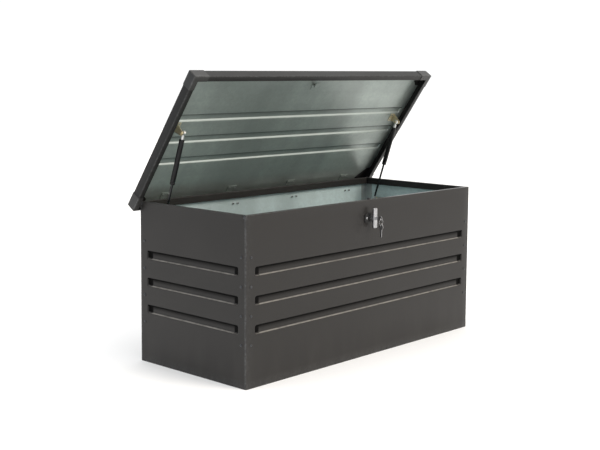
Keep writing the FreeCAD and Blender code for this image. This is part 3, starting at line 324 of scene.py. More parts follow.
COAT = PowderCoat("anthracite_powder_coat", (0.0212, 0.0198, 0.0186), 0.31, gleam=0.22)
# The lid's rails and gussets wear a darker copy of the same anthracite coat: painted shade.
SHADED_RAIL_COAT = PowderCoat("anthracite_rail_coat", (0.0150, 0.0147, 0.0143), 0.42, gleam=0.20,
                       dust_height=0.0001)
CAP_COAT = PowderCoat("anthracite_cap_coat", (0.0290, 0.0285, 0.0278), 0.42, gleam=0.32,
                      dust_height=0.0001)
# A lighter copy of the galvanised zinc for the walls' inner faces and the floor tray: painted light.
LIT_WALL_ZINC = Galvanised("galvanised_wall", (0.58, 0.69, 0.69), 0.42)
LID_ZINC = Galvanised("galvanised_lid", (0.315, 0.360, 0.336), 0.31, metal=0.55)
FRAME_ZINC = Galvanised("galvanised_frame", (0.40, 0.43, 0.42), 0.42, crystals=130.0)
BRIGHT_ZINC = Plating("bright_zinc", (0.66, 0.67, 0.68), 0.30)
YELLOW_ZINC = Plating("yellow_zinc", (0.72, 0.67, 0.53), 0.32, tarnish=(0.60, 0.59, 0.55), tarnished=0.6)
DARK_BOLT = Plating("blackened_bolt", (0.050, 0.052, 0.056), 0.36, tarnish=(0.11, 0.11, 0.115), metal=0.6)
CHROME = Plating("satin_chrome", (0.47, 0.47, 0.48), 0.26, tarnish=(0.28, 0.28, 0.285), tarnished=0.5)
ROD = Plating("nitrided_rod", (0.040, 0.040, 0.042), 0.24, tarnish=(0.09, 0.09, 0.09),
              hairline=(900.0, 900.0, 20.0))
TUBE_PAINT = Enamel("strut_black_paint", (0.004, 0.004, 0.0045), 0.34, gloss=0.12)
LOCK_BLACK = Enamel("lock_black", (0.010, 0.010, 0.011), 0.38, gloss=0.2, grain=1500.0)
BLACK_RUBBER = Rubber("black_rubber", (0.014, 0.014, 0.014), 0.72)


# ------------------------------------------------------------------ surfaces

@dataclass
class Surface:
    """A mesh in the making: points, faces, their finish, and by point how rubbed it is and its painted light:
    painted highlight up to 1, painted shade down to -1.
    """

    points: np.ndarray
    quads: np.ndarray
    triangles: np.ndarray = field(default_factory=lambda: np.zeros((0, 3), int))
    quad_finish: np.ndarray | None = None
    wear: np.ndarray | None = None
    ledge: np.ndarray | None = None

    def __post_init__(self) -> None:
        """Fill in one finish, no wear and no ledge where none are given."""
        if self.quad_finish is None:
            self.quad_finish = np.zeros(len(self.quads), int)
        if self.wear is None:
            self.wear = np.zeros(len(self.points))
        if self.ledge is None:
            self.ledge = np.zeros(len(self.points))

    def moved(self, matrix: Matrix) -> "Surface":
        """A copy carried by a 4x4 matrix; a mirroring one also turns the faces over."""
        table = np.array(matrix)
        points = self.points @ table[:3, :3].T + table[:3, 3]
        flip = -1 if np.linalg.det(table[:3, :3]) < 0 else 1
        return Surface(points, self.quads[:, ::flip], self.triangles[:, ::flip], self.quad_finish, self.wear,
                       self.ledge)

    def compact(self) -> "Surface":
        """Drop the points that no face uses."""
        used = np.unique(np.concatenate([self.quads.ravel(), self.triangles.ravel()]))
        place = np.zeros(len(self.points), int)
        place[used] = np.arange(len(used))
        return Surface(self.points[used], place[self.quads], place[self.triangles], self.quad_finish,
                       self.wear[used], self.ledge[used])


def joined(parts: Sequence[Surface]) -> Surface:
    """Several surfaces as one."""
    starts = np.cumsum([0] + [len(part.points) for part in parts[:-1]])
    return Surface(
        np.concatenate([part.points for part in parts]),
        np.concatenate([part.quads + start for part, start in zip(parts, starts)]),
        np.concatenate([part.triangles + start for part, start in zip(parts, starts)]),
        np.concatenate([part.quad_finish for part in parts]),
        np.concatenate([part.wear for part in parts]),
        np.concatenate([part.ledge for part in parts]),
    )


def surface_normals(grid: np.ndarray) -> np.ndarray:
    """Unit normals of a grid of points: across the first direction's slope and the second's."""
    along = np.gradient(grid, axis=1)
    up = np.gradient(grid, axis=0)
    normal = np.cross(along, up)
    return normal / np.maximum(np.linalg.norm(normal, axis=2, keepdims=True), 1e-12)


def shell(outer: np.ndarray, wall: float, keep: np.ndarray | None = None, wear: np.ndarray | None = None,
          ledge: np.ndarray | None = None, inner_painted_light: np.ndarray | None = None) -> Surface:
    """A sheet with thickness: a grid, its copy set back along the normals, and a strip round each border.

    Args:
        outer: the grid of outer points; (second direction) x (first direction) points outwards.
        wall: the sheet's thickness.
        keep: which cells of the grid exist; all of them if not given.
        wear: how rubbed each outer point is, from 0 to 1.
        ledge: each outer point's painted highlight (up to 1) on upward slopes or painted shade (down to -1)
            under downward ones.
        inner_painted_light: the same for the inner face; the reverse of the outer face's if not given.

    Returns:
        The closed sheet; finish 0 is the outer face and the cut edges, finish 1 the inner face.
    """
    rows, cols = outer.shape[:2]
    keep = np.ones((rows - 1, cols - 1), bool) if keep is None else keep
    inner = outer - surface_normals(outer) * wall
    here = np.arange(rows * cols).reshape(rows, cols)
    front = np.stack([here[:-1, :-1], here[:-1, 1:], here[1:, 1:], here[1:, :-1]], -1)[keep]
    back = front[:, ::-1] + rows * cols
    framed = np.pad(keep, 1)
    below, above = framed[:-1, 1:-1], framed[1:, 1:-1]
    before, after = framed[1:-1, :-1], framed[1:-1, 1:]
    borders = [(here[:, 1:], here[:, :-1], above & ~below), (here[:, :-1], here[:, 1:], below & ~above),
               (here[:-1], here[1:], after & ~before), (here[1:], here[:-1], before & ~after)]
    strips = [np.stack([start, end, end + rows * cols, start + rows * cols], -1)[wanted]
              for start, end, wanted in borders]
    quads = np.concatenate([front, back, *strips])
    finish = np.zeros(len(quads), int)
    finish[len(front):2 * len(front)] = 1
    rubbed = np.zeros(outer.shape[:2]) if wear is None else wear
    points = np.concatenate([outer.reshape(-1, 3), inner.reshape(-1, 3)])
    both = np.concatenate([rubbed.ravel(), np.zeros(rows * cols)])
    tilt = np.zeros(outer.shape[:2]) if ledge is None else ledge
    inner_tilt = -tilt if inner_painted_light is None else inner_painted_light
    tilts = np.concatenate([tilt.ravel(), inner_tilt.ravel()])
    return Surface(points, quads, quad_finish=finish, wear=both, ledge=tilts).compact()


def lathe(profile: np.ndarray, segments: int = 32,
          shape: Callable[[np.ndarray, np.ndarray], np.ndarray] | None = None) -> Surface:
    """A body of revolution about Z, from a pole to a pole.

    Point = (r cos a, r sin a, h + shape(x, y)) for each (r, h) of the profile and each angle a.

    Args:
        profile: rows of (radius, height); the first and the last lie on the axis.
        segments: how many steps the turn has.
        shape: an extra height for each point of the ring, from its x and y.

    Returns:
        The closed body, facing outwards when the profile runs from the top to the bottom.
    """
    angle = np.linspace(0.0, 2.0 * np.pi, segments, endpoint=False)
    rings = profile[1:-1]
    x = rings[:, :1] * np.cos(angle)
    y = rings[:, :1] * np.sin(angle)
    z = np.broadcast_to(rings[:, 1:], x.shape)
    if shape is not None:
        z = z + shape(x, y)
    tip_drop = 0.0 if shape is None else float(shape(np.zeros((1, 1)), np.zeros((1, 1)))[0, 0])
    poles = np.array([[0.0, 0.0, profile[0, 1] + tip_drop], [0.0, 0.0, profile[-1, 1]]])
    here = np.arange(x.size).reshape(x.shape)
    beside = np.roll(here, -1, axis=1)
    quads = np.stack([here[:-1], here[1:], beside[1:], beside[:-1]], -1).reshape(-1, 4)
    top = np.stack([np.full(segments, x.size), here[0], beside[0]], -1)
    bottom = np.stack([np.full(segments, x.size + 1), beside[-1], here[-1]], -1)
    points = np.concatenate([np.stack([x, y, z], -1).reshape(-1, 3), poles])
    return Surface(points, quads, np.concatenate([top, bottom]))


def swept(path: np.ndarray, section: np.ndarray, side: np.ndarray) -> Surface:
    """A section carried along a path: point = path + u side + v (side x direction of travel).

    Args:
        path: the points of the path.
        section: a closed outline of (u, v), without its first point again.
        side: one direction for each path point, square to the path.

    Returns:
        The swept body, its two ends closed.
    """
    travel = np.gradient(path, axis=0)
    travel /= np.linalg.norm(travel, axis=1, keepdims=True)
    across = np.cross(side, travel)
    points = (path[:, None] + section[None, :, :1] * side[:, None] + section[None, :, 1:] * across[:, None])
    here = np.arange(points.shape[0] * points.shape[1]).reshape(points.shape[:2])
    beside = np.roll(here, -1, axis=1)
    quads = np.stack([here[:-1], here[1:], beside[1:], beside[:-1]], -1).reshape(-1, 4)
    count = here.size
    ends = np.stack([points[0].mean(0), points[-1].mean(0)])
    first = np.stack([np.full(len(section), count), here[0], beside[0]], -1)
    last = np.stack([np.full(len(section), count + 1), beside[-1], here[-1]], -1)
    return Surface(np.concatenate([points.reshape(-1, 3), ends]), quads, np.concatenate([first, last]))


def smooth(value: np.ndarray) -> np.ndarray:
    """The S-shaped step 3t^2 - 2t^3 of a value held between 0 and 1."""
    held = np.clip(value, 0.0, 1.0)
    return held * held * (3.0 - 2.0 * held)


def stations(low: float, high: float, step: float, folds: Sequence[float] = (), reach: float = 0.003,
             count: int = 11) -> np.ndarray:
    """Places along a line: even steps, with close ones around each fold."""
    even = np.linspace(low, high, max(2, int(round((high - low) / step)) + 1))
    close = [fold + np.linspace(-reach, reach, count) for fold in folds]
    keep = even[np.all([np.abs(even - fold) > reach * 1.2 for fold in folds], axis=0)] if len(folds) else even
    every = np.concatenate([keep, *close, [low, high]])
    every = np.unique(np.round(every[(every >= low) & (every <= high)], 6))
    return every


def arc(centre: Sequence[float], radius: float, start: float, end: float, count: int = 7) -> np.ndarray:
    """Points of an arc in a plane, from one angle to another in degrees."""
    angle = np.radians(np.linspace(start, end, count))
    return np.stack([centre[0] + radius * np.cos(angle), centre[1] + radius * np.sin(angle)], -1)


def rounded_box_distance(u: np.ndarray, v: np.ndarray, half: Sequence[float], corner: float) -> np.ndarray:
    """Distance from a round-cornered rectangle's outline, negative inside it."""
    past_u = np.abs(u) - (half[0] - corner)
    past_v = np.abs(v) - (half[1] - corner)
    outside = np.hypot(np.maximum(past_u, 0.0), np.maximum(past_v, 0.0))
    return outside + np.minimum(np.maximum(past_u, past_v), 0.0) - corner


# ------------------------------------------------------------------ making pieces

class Body(Enum):
    """The rigid bodies that pieces ride on."""

    CABINET = "cabinet"
    LID = "lid"
    TUBE_LEFT = "strut_tube_left"
    TUBE_RIGHT = "strut_tube_right"
    ROD_LEFT = "strut_rod_left"
    ROD_RIGHT = "strut_rod_right"
    HANDLE = "lock_handle_body"
    KEY = "key_in_lock"
    RING = "ring"
    SPARE = "hanging_key"


def as_object(surface: Surface, name: str, finishes: Sequence[Finish]) -> bpy.types.Object:
    """Make a Blender object of a surface.

    Args:
        surface: the mesh in metres in the row frame.
        name: the piece's name.
        finishes: the finishes that its faces' numbers stand for.

    Returns:
        The object, at the origin, with its place in its mesh.
    """
    mesh = bpy.data.meshes.new(name)
    corners = np.concatenate([surface.quads.ravel(), surface.triangles.ravel()])
    quads, triangles = len(surface.quads), len(surface.triangles)
    starts = np.concatenate([np.arange(quads) * 4, quads * 4 + np.arange(triangles) * 3])
    mesh.vertices.add(len(surface.points))
    mesh.vertices.foreach_set("co", surface.points.astype(np.float32).ravel())
    mesh.loops.add(len(corners))
    mesh.loops.foreach_set("vertex_index", corners.astype(np.int32))
    mesh.polygons.add(quads + triangles)
    mesh.polygons.foreach_set("loop_start", starts.astype(np.int32))
    finish = np.concatenate([surface.quad_finish, np.zeros(triangles, int)]).astype(np.int32)
    mesh.polygons.foreach_set("material_index", finish)
    mesh.polygons.foreach_set("use_smooth", np.ones(quads + triangles, bool))
    # Each point's wear, and its painted light: painted highlight above zero, painted shade below.
    for label, values in (("wear", surface.wear), ("ledge", surface.ledge)):
        mesh.attributes.new(label, "FLOAT", "POINT").data.foreach_set("value", values.astype(np.float32))
    for entry in finishes:
        mesh.materials.append(entry.material())
    mesh.update(calc_edges=True)
    mesh.validate()
    mesh.set_sharp_from_angle(angle=math.radians(SHEET_CREASE))
    made = bpy.data.objects.new(name, mesh)
    bpy.context.scene.collection.objects.link(made)
    return made


def fit(piece: bpy.types.Object, body: Body, nodes: Sequence[str]) -> None:
    """Let a piece ride on a body and stand for CAD nodes, which it hides, and log it."""
    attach(piece, body.value)
    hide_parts(*nodes)
    LOG.info("%s rides on %s and stands for %s", piece.name, body.value, ", ".join(nodes))


def dress_node(name: str, finish: Finish) -> None:
    """Give a CAD node that stays in view its finish."""
    node = frame["nodes"][name]
    for slot in node.material_slots:
        slot.material = finish.material()
    if not node.material_slots:
        node.data.materials.append(finish.material())
    LOG.info("%s keeps its CAD shape in %s", name, finish.name)


def softened(name: str, body: Body, finish: Finish, radius: float = 0.0004,
             steps: int = 2) -> None:
    """Replace a CAD node by a merged copy whose sharp edges are broken.

    Args:
        name: the CAD node.
        body: the body that it rides on.
        finish: its finish.
        radius: how wide the broken edges are.
        steps: how many facets they have.
    """
    source = bmesh.new()
    source.from_mesh(frame["nodes"][name].data)
    bmesh.ops.remove_doubles(source, verts=source.verts, dist=2e-6)
    bmesh.ops.dissolve_limit(source, angle_limit=math.radians(0.5), verts=source.verts, edges=source.edges)
    source.verts.index_update()
    mesh = bpy.data.meshes.new(name + "_finished")
    points = [tuple(vertex.co) for vertex in source.verts]
    mesh.from_pydata(points, [], [[vertex.index for vertex in face.verts] for face in source.faces])
    source.free()
    mesh.polygons.foreach_set("use_smooth", np.ones(len(mesh.polygons), bool))
    mesh.materials.append(finish.material())
    mesh.set_sharp_from_angle(angle=math.radians(CASTING_CREASE))
    piece = bpy.data.objects.new(name + "_finished", mesh)
    bpy.context.scene.collection.objects.link(piece)
    bevel = piece.modifiers.new("broken_edges", "BEVEL")
    bevel.width = radius
    bevel.segments = steps
    bevel.limit_method = "ANGLE"
    bevel.angle_limit = math.radians(CASTING_CREASE)
    bevel.harden_normals = True
    bevel.use_clamp_overlap = True
    fit(piece, body, [name])


# ------------------------------------------------------------------ carcass

@dataclass(frozen=True)
class WallFrame:
    """Where a wall stands: its outer foot's middle, the way along it and the way inwards."""

    name: str
    origin: tuple[float, float, float]
    along: tuple[float, float, float]
    inward: tuple[float, float, float]

    def carry(self, along: np.ndarray, depth: np.ndarray, height: np.ndarray) -> np.ndarray:
        """Points of the wall from distances along it, behind its outer face and above the floor."""
        return (np.array(self.origin) + along[..., None] * np.array(self.along)
                + depth[..., None] * np.array(self.inward) + height[..., None] * np.array((0.0, 0.0, 1.0)))


@dataclass
class Carcass:
    """Four pressed panels on corner posts, with a rim folded inwards and a floor tray.

    The panels are whole sheets: the CAD's holes for screws, hinges and the lock aren't cut in them.
    """

    half_width: float = 0.6055
    half_depth: float = 0.259
    height: float = 0.555
    sheet: float = 0.001
    rim: float = 0.015
    lip: float = 0.025
    bend: float = 0.0022
    corner: float = 0.003
    rib_heights: tuple[float, ...] = (0.187, 0.2805, 0.374)
    rib_half: float = 0.0128
    rib_depth: float = 0.0070
    rib_slope: float = 0.0060
    # The next five size the painted shade in the ribs: its fade below the upper edge, the dark length at each
    # end and its fade, and how dark each part is.
    rib_shade: float = 0.011
    rib_end_shade: float = 0.024
    rib_end_fade: float = 0.006
    top_shade_share: float = 0.8
    end_shade_share: float = 0.75
    rib_corner: float = 0.0045
    front_margin: float = 0.0417
    side_margin: float = 0.0377
    side_seam: float = 0.0032
    sag: float = 0.0004

    def rim_path(self) -> np.ndarray:
        """The fold at the top of a wall as (depth, height): up, over the rim and down its lip."""
        top = self.height
        first = arc((self.bend, top - self.bend), self.bend, 180.0, 90.0)
        second = arc((self.rim - self.bend, top - self.bend), self.bend, 90.0, 0.0)
        flat = np.array([[self.bend + 0.001, top], [self.rim / 2, top], [self.rim - self.bend - 0.001, top]])
        down = np.array([[self.rim, top - self.bend - 0.001], [self.rim, top - self.lip * 0.6],
                         [self.rim, top - self.lip]])
        return np.concatenate([first, flat, second, down])

    def rib_depths(self, along: np.ndarray, height: np.ndarray, rib_end: float) -> np.ndarray:
        """How far the pressed ribs set the sheet back: a smooth step across each rib's outline."""
        depth = np.zeros(np.broadcast(along, height).shape)
        for middle in self.rib_heights:
            past = rounded_box_distance(along, height - middle, (rib_end, self.rib_half), self.rib_corner)
            depth = np.maximum(depth, smooth(0.5 - past / self.rib_slope))
        return depth * self.rib_depth

    def rib_painted_light(self, pressed: np.ndarray, along: np.ndarray, height: np.ndarray,
                   rib_end: float) -> np.ndarray:
        """Painted light of the ribs: painted highlight up to 1 where the sheet turns upwards, painted shade
        down to -1 where it turns down.

        This is shade painted by the finish, not cast by a light.  The dark under the upper edge fades
        into the rib with exp(-distance below the edge / rib_shade), and the last rib_end_shade of each
        rib is dark all over.
        """
        level = height[:, 0]
        slope = np.gradient(pressed, level, axis=0) * self.rib_slope / (1.5 * self.rib_depth)
        shade = np.zeros(pressed.shape)
        for middle in self.rib_heights:
            below = middle + self.rib_half - height
            inside = (below > -self.rib_slope) & (below < 2.0 * self.rib_half)
            shade = np.maximum(shade, inside * np.exp(-np.maximum(below, 0.0) / self.rib_shade))
        past = np.abs(along) - rib_end + self.rib_end_shade
        ends = self.end_shade_share * smooth(past / self.rib_end_fade)
        dark = np.maximum(self.top_shade_share * shade, ends)
        return np.clip(slope - dark * pressed / self.rib_depth, -1.0, 1.0)

    def waves(self, along: np.ndarray, height: np.ndarray, half: float, seed: int) -> np.ndarray:
        """The thin sheet's slight waves, always inwards: slow sines that fade out at the wall's borders."""
        chance = np.random.default_rng(seed)
        total = np.zeros(np.broadcast(along, height).shape)
        for _ in range(5):
            wide, tall = chance.uniform(4.0, 11.0), chance.uniform(5.0, 12.0)
            total = total + np.sin(wide * along + tall * height + chance.uniform(0.0, 6.3)) / 5.0
        inside = smooth((half - 0.04 - np.abs(along)) / 0.10) * smooth((height - 0.02) / 0.08)
        inside = inside * smooth((self.height - 0.10 - height) / 0.10)
        return self.sag * 0.5 * (1.0 + total) * inside

    def panel(self, wall: WallFrame, half: float, rib_end: float, wrapped: bool, seed: int) -> Surface:
        """One panel: wall with ribs, then its rim.

        Args:
            wall: where it stands.
            half: half its length.
            rib_end: where its ribs end, from its middle.
            wrapped: whether its ends turn round the corner and its rim runs to them.
            seed: the number behind its waves.

        Returns:
            The closed sheet.
        """
        rim_end = half if wrapped else self.half_depth - self.rim - 0.0005
        dark = rib_end - self.rib_end_shade + self.rib_slope / 2
        folds = (-rib_end, -dark, dark, rib_end)
        if not wrapped:
            folds = (-rim_end, *folds, rim_end)
        straight = half - self.corner if wrapped else half
        along = stations(-straight, straight, 0.035, folds, self.rib_slope, 13)
        set_back = np.zeros(len(along))
        if wrapped:
            turn = arc((straight, self.corner), self.corner, -90.0, 0.0)[1:]
            along = np.concatenate([-turn[::-1, 0], along, turn[:, 0]])
            set_back = np.concatenate([turn[::-1, 1], set_back, turn[:, 1]])
        edges = [middle + side * self.rib_half for middle in self.rib_heights for side in (-1, 1)]
        wall_top = self.height - self.bend
        heights = stations(0.0, wall_top - 0.001, 0.03, edges, self.rib_slope, 13)
        rim = self.rim_path()
        depth = np.concatenate([np.zeros(len(heights)), rim[:, 0]])
        level = np.concatenate([heights, rim[:, 1]])
        s, h = np.meshgrid(along, level)
        d = np.broadcast_to(depth[:, None], s.shape)
        d = d + np.broadcast_to(set_back[None, :], s.shape) * (1.0 - d / self.rim)
        on_wall = np.broadcast_to((np.arange(len(level)) < len(heights))[:, None], s.shape)
        pressed = self.rib_depths(s, h, rib_end)
        # Painted highlight on the ribs' upward slopes and painted shade under their upper edges and at their
        # ends, for the finish to paint.
        ledge = np.where(on_wall, self.rib_painted_light(pressed, s, h, rib_end), 0.0)
        d = d + np.where(on_wall, pressed + self.waves(s, h, half, seed), 0.0)
        keep = np.ones((len(level) - 1, len(along) - 1), bool)
        if not wrapped:
            middle = (along[1:] + along[:-1]) / 2
            keep[len(heights):] = np.abs(middle) < rim_end
        fold = np.exp(-((h - self.height) / 0.002) ** 2) * (d < self.rim - 0.001) * 0.6
        end = np.exp(-((np.abs(s) - half) / 0.0022) ** 2)
        foot = np.exp(-(h / 0.002) ** 2) * 0.4
        wear = np.clip(fold + end + foot, 0.0, 1.0)
        return shell(wall.carry(s, d, h), self.sheet, keep, wear, ledge)

    def walls(self) -> list[tuple[WallFrame, float, float, bool]]:
        """Each wall's frame, half length and ribs' end, and whether it wraps the corners."""
        wide, deep = self.half_width, self.half_depth
        long_end, side_end, side = wide - self.front_margin, deep - self.side_margin, deep - self.side_seam
        return [
            (WallFrame("front_panel", (0, -deep, 0), (1, 0, 0), (0, 1, 0)), wide, long_end, True),
            (WallFrame("back_panel", (0, deep, 0), (-1, 0, 0), (0, -1, 0)), wide, long_end, True),
            (WallFrame("left_panel", (-wide, 0, 0), (0, -1, 0), (1, 0, 0)), side, side_end, False),
            (WallFrame("right_panel", (wide, 0, 0), (0, 1, 0), (-1, 0, 0)), side, side_end, False),
        ]

    def build(self) -> None:
        """Make the panels, and finish the posts and the tray."""
        for seed, (wall, half, rib_end, wrapped) in enumerate(self.walls(), start=11):
            surface = self.panel(wall, half, rib_end, wrapped, seed)
            piece = as_object(surface, wall.name + "_pressed", (COAT, LIT_WALL_ZINC))
            fit(piece, Body.CABINET, [wall.name])
        for long_name in ("front", "back"):
            for side_name in ("left", "right"):
                softened(f"corner_post_{long_name}_{side_name}", Body.CABINET, FRAME_ZINC)
        softened("floor_tray", Body.CABINET, LIT_WALL_ZINC)


# ------------------------------------------------------------------ screws and rivets

@dataclass(frozen=True)
class CrossScrew:
    """A pan-head screw with a cross recess, its seat at the origin and its head towards +Z."""

    head_radius: float
    head_height: float
    shank_radius: float
    shank_length: float
    recess: float = 0.0011

    def cross(self, x: np.ndarray, y: np.ndarray) -> np.ndarray:
        """The cross recess: a negative height near both axes, which tapers out from the middle."""
        reach = self.head_radius * 0.62
        arm = np.minimum(np.abs(x), np.abs(y))
        open_arm = smooth((self.head_radius * 0.17 - arm) / (self.head_radius * 0.08))
        return -self.recess * open_arm * smooth((reach - np.hypot(x, y)) / (reach * 0.4))

    def surface(self) -> Surface:
        """Head as a flattened dome, r = R sin t and h = H cos t, over a plain shank."""
        angle = np.linspace(0.0, np.pi / 2, 12)[1:]
        flat = 0.45
        dome = np.stack([self.head_radius * np.sin(angle), self.head_height * np.cos(angle) ** flat], -1)
        under = np.array([[self.shank_radius, 0.0], [self.shank_radius, -self.shank_length]])
        poles = np.array([[0.0, self.head_height]]), np.array([[0.0, -self.shank_length]])
        profile = np.concatenate([poles[0], dome, under, poles[1]])
        return lathe(profile, LATHE_STEPS, lambda x, y: np.where(
            np.hypot(x, y) < self.head_radius * 0.7, self.cross(x, y), 0.0))


BODY_SCREW = CrossScrew(head_radius=0.0048, head_height=0.0026, shank_radius=0.0025, shank_length=0.0085)
PLATE_SCREW = CrossScrew(0.004, 0.0025, 0.002, 0.009, recess=0.0009)


def facing(direction: Sequence[float], place: Sequence[float], spin: float = 0.0) -> Matrix:
    """The matrix that turns +Z to a direction and moves the origin to a place."""
    turn = Vector(direction).to_track_quat("Z", "Y").to_matrix().to_4x4()
    return Matrix.Translation(Vector(place)) @ turn @ Matrix.Rotation(spin, 4, "Z")


@dataclass
class Fasteners:
    """The carcass's screws, with their nuts left in their CAD shape."""

    carcass: Carcass
    inset: float = 0.022
    tongue_inset: float = 0.0075
    tongue_drop: float = 0.007
    rib_pitch: float = 0.0935
    hinge_pitch: float = 0.318
    leaf_hole_pitch: float = 0.024
    leaf: float = 0.002
    leaf_screw_height: float = 0.50907

    def spots(self) -> list[tuple[tuple[float, float, float], tuple[float, float, float]]]:
        """Each screw's seat and the way that its head faces."""
        box = self.carcass
        middle = box.rib_heights[1]
        found = []
        for x_sign in (-1, 1):
            for y_sign in (-1, 1):
                for row in (-1.5, -0.5, 0.5, 1.5):
                    height = middle + row * self.rib_pitch
                    found.append(((x_sign * (box.half_width - self.inset), y_sign * box.half_depth, height),
                                  (0, y_sign, 0)))
                    found.append(((x_sign * box.half_width, y_sign * (box.half_depth - self.inset), height),
                                  (x_sign, 0, 0)))
                found.append(((x_sign * box.half_width, y_sign * (box.half_depth - self.tongue_inset),
                               box.height - self.tongue_drop), (x_sign, 0, 0)))
        for index in range(4):
            for side in (-1, 1):
                x = (index - 1.5) * self.hinge_pitch + side * self.leaf_hole_pitch / 2
                found.append(((x, box.half_depth + self.leaf, self.leaf_screw_height), (0, 1, 0)))
        return found

    def build(self) -> None:
        """Make every screw as one piece, each turned by its own small angle."""
        screw = BODY_SCREW.surface()
        chance = np.random.default_rng(5)
        parts = [screw.moved(facing(way, place, chance.uniform(0.0, 1.57))) for place, way in self.spots()]
        fit(as_object(joined(parts), "body_screws", (DARK_BOLT,)), Body.CABINET, ["body_bolts"])
        dress_node("body_nuts", BRIGHT_ZINC)


# ------------------------------------------------------------------ lid

@dataclass
class Lid:
    """Ribbed skin in a frame of folded rails with corner caps, drawn shut from the hinge's axis."""

    side: float = 0.6283
    front: float = -0.54967
    back: float = 0.00963
    top: float = 0.02793
    bottom: float = -0.00567
    rail: float = 0.020
    back_flange: float = 0.0185
    back_lip: float = 0.005
    wall: float = 0.0012
    sheet: float = 0.001
    bend: float = 0.0024
    rib_middle: float = -0.26537
    rib_pitch: float = 0.092
    rib_half: float = 0.0128
    rib_end: float = 0.6058
    rib_depth: float = 0.0060
    rib_slope: float = 0.0066
    rib_shade: float = 0.005
    rib_corner: float = 0.006
    rail_gap: float = 0.0001
    cap_wall: float = 0.0015
    cap_long_leg: float = 0.060
    cap_side_leg: float = 0.054
    cap_corner: float = 0.0035
    wave: float = 0.00055

    def __post_init__(self) -> None:
        """Find the hinge's axis and the open angle in the record."""
        hinge = next(joint for joint in frame["joints"] if joint["name"] == "lid_hinge")
        angle = math.radians(max(hinge["range_deg"]))
        self.open = Matrix.Translation(Vector(hinge["pos_m"])) @ Matrix.Rotation(-angle, 4, "X")

    def carry(self, x: np.ndarray, y: np.ndarray, z: np.ndarray) -> np.ndarray:
        """Points of the open lid from places on the shut one."""
        table = np.array(self.open)
        points = np.stack(np.broadcast_arrays(x, y, z), -1)
        return points @ table[:3, :3].T + table[:3, 3]

    def skin(self) -> Surface:
        """The skin: three ribs pressed up by a smooth step, and slow waves that fade at the rails."""
        x_end, y_low, y_high = self.side - self.wall, self.front + self.wall, self.back - self.wall
        middles = [self.rib_middle + row * self.rib_pitch for row in (-1, 0, 1)]
        edges = [middle + side * self.rib_half for middle in middles for side in (-1, 1)]
        x, y = np.meshgrid(stations(-x_end, x_end, 0.03, (-self.rib_end, self.rib_end), self.rib_slope, 13),
                           stations(y_low, y_high, 0.02, edges, self.rib_slope, 13))
        raised = np.zeros(x.shape)
        for middle in middles:
            past = rounded_box_distance(x, y - middle, (self.rib_end, self.rib_half), self.rib_corner)
            raised = np.maximum(raised, smooth(0.5 - past / self.rib_slope))
        chance = np.random.default_rng(29)
        waves = np.zeros(x.shape)
        for _ in range(6):
            wide, deep = chance.uniform(3.0, 9.0), chance.uniform(9.0, 22.0)
            waves = waves + np.sin(wide * x + deep * y + chance.uniform(0.0, 6.3)) / 6.0
        inside = smooth((x_end - 0.045 - np.abs(x)) / 0.12)
        inside = inside * smooth((y - y_low - 0.045) / 0.08) * smooth((y_high - 0.05 - y) / 0.08)
        z = self.top - self.wall + self.rib_depth * raised + self.wave * waves * inside
        # Painted light of the ribs: painted highlight and painted shade on their two slopes, and a mark
        # fading into each rib from its front-side edge; the underside takes it reversed in full as painted
        # shade, the top a third of it.
        ledge = np.gradient(raised, y[:, 0], axis=0) * self.rib_slope / 1.5
        for middle in middles:
            inside = y - (middle - self.rib_half)
            near = (inside > -self.rib_slope) & (inside < 2.0 * self.rib_half)
            ledge = ledge + 0.9 * raised * near * np.exp(-np.maximum(inside, 0.0) / self.rib_shade)
        ledge = np.clip(ledge, -1.0, 1.0)
        return shell(self.carry(x, y, z), self.sheet, ledge=0.3 * ledge, inner_painted_light=-ledge)

    def channel(self, depth: float, lip: float) -> np.ndarray:
        """A rail's section as (distance in from the edge, height): bottom lip, web, top flange."""
        low = arc((self.bend, self.bottom + self.bend), self.bend, 270.0, 180.0)
        high = arc((self.bend, self.top - self.bend), self.bend, 180.0, 90.0)
        lip_end = np.array([[lip, self.bottom], [lip * 0.5 + self.bend * 0.5, self.bottom]])
        web = np.array([[0.0, self.bottom + self.bend + 0.001], [0.0, 0.0],
                        [0.0, self.top - self.bend - 0.001]])
        flange = np.array([[self.bend + 0.001, self.top], [depth * 0.6, self.top], [depth, self.top]])
        return np.concatenate([lip_end, low, web, high, flange])

    def folded_wear(self, depth: np.ndarray, height: np.ndarray) -> np.ndarray:
        """Rubbed along both folds of a rail."""
        upper = np.exp(-(np.hypot(depth, height - self.top) / 0.0022) ** 2)
        lower = np.exp(-(np.hypot(depth, height - self.bottom) / 0.0022) ** 2)
        return np.clip(upper + lower, 0.0, 1.0)

    def long_rail(self, is_back: bool) -> Surface:
        """Front or back rail along the lid's whole width, its channel open to the middle."""
        depth, lip = (self.back_flange, self.back_lip) if is_back else (self.rail, self.rail)
        section = self.channel(depth, lip)
        end = self.side - self.wall - self.rail_gap
        x = stations(-end, end, 0.04)
        if is_back:
            x = x[::-1]
        x_grid, d = np.meshgrid(x, section[:, 0])
        z = np.broadcast_to(section[:, 1:], d.shape)
        y = self.back - d if is_back else self.front + d
        return shell(self.carry(x_grid, y, z), self.wall, wear=self.folded_wear(d, z))

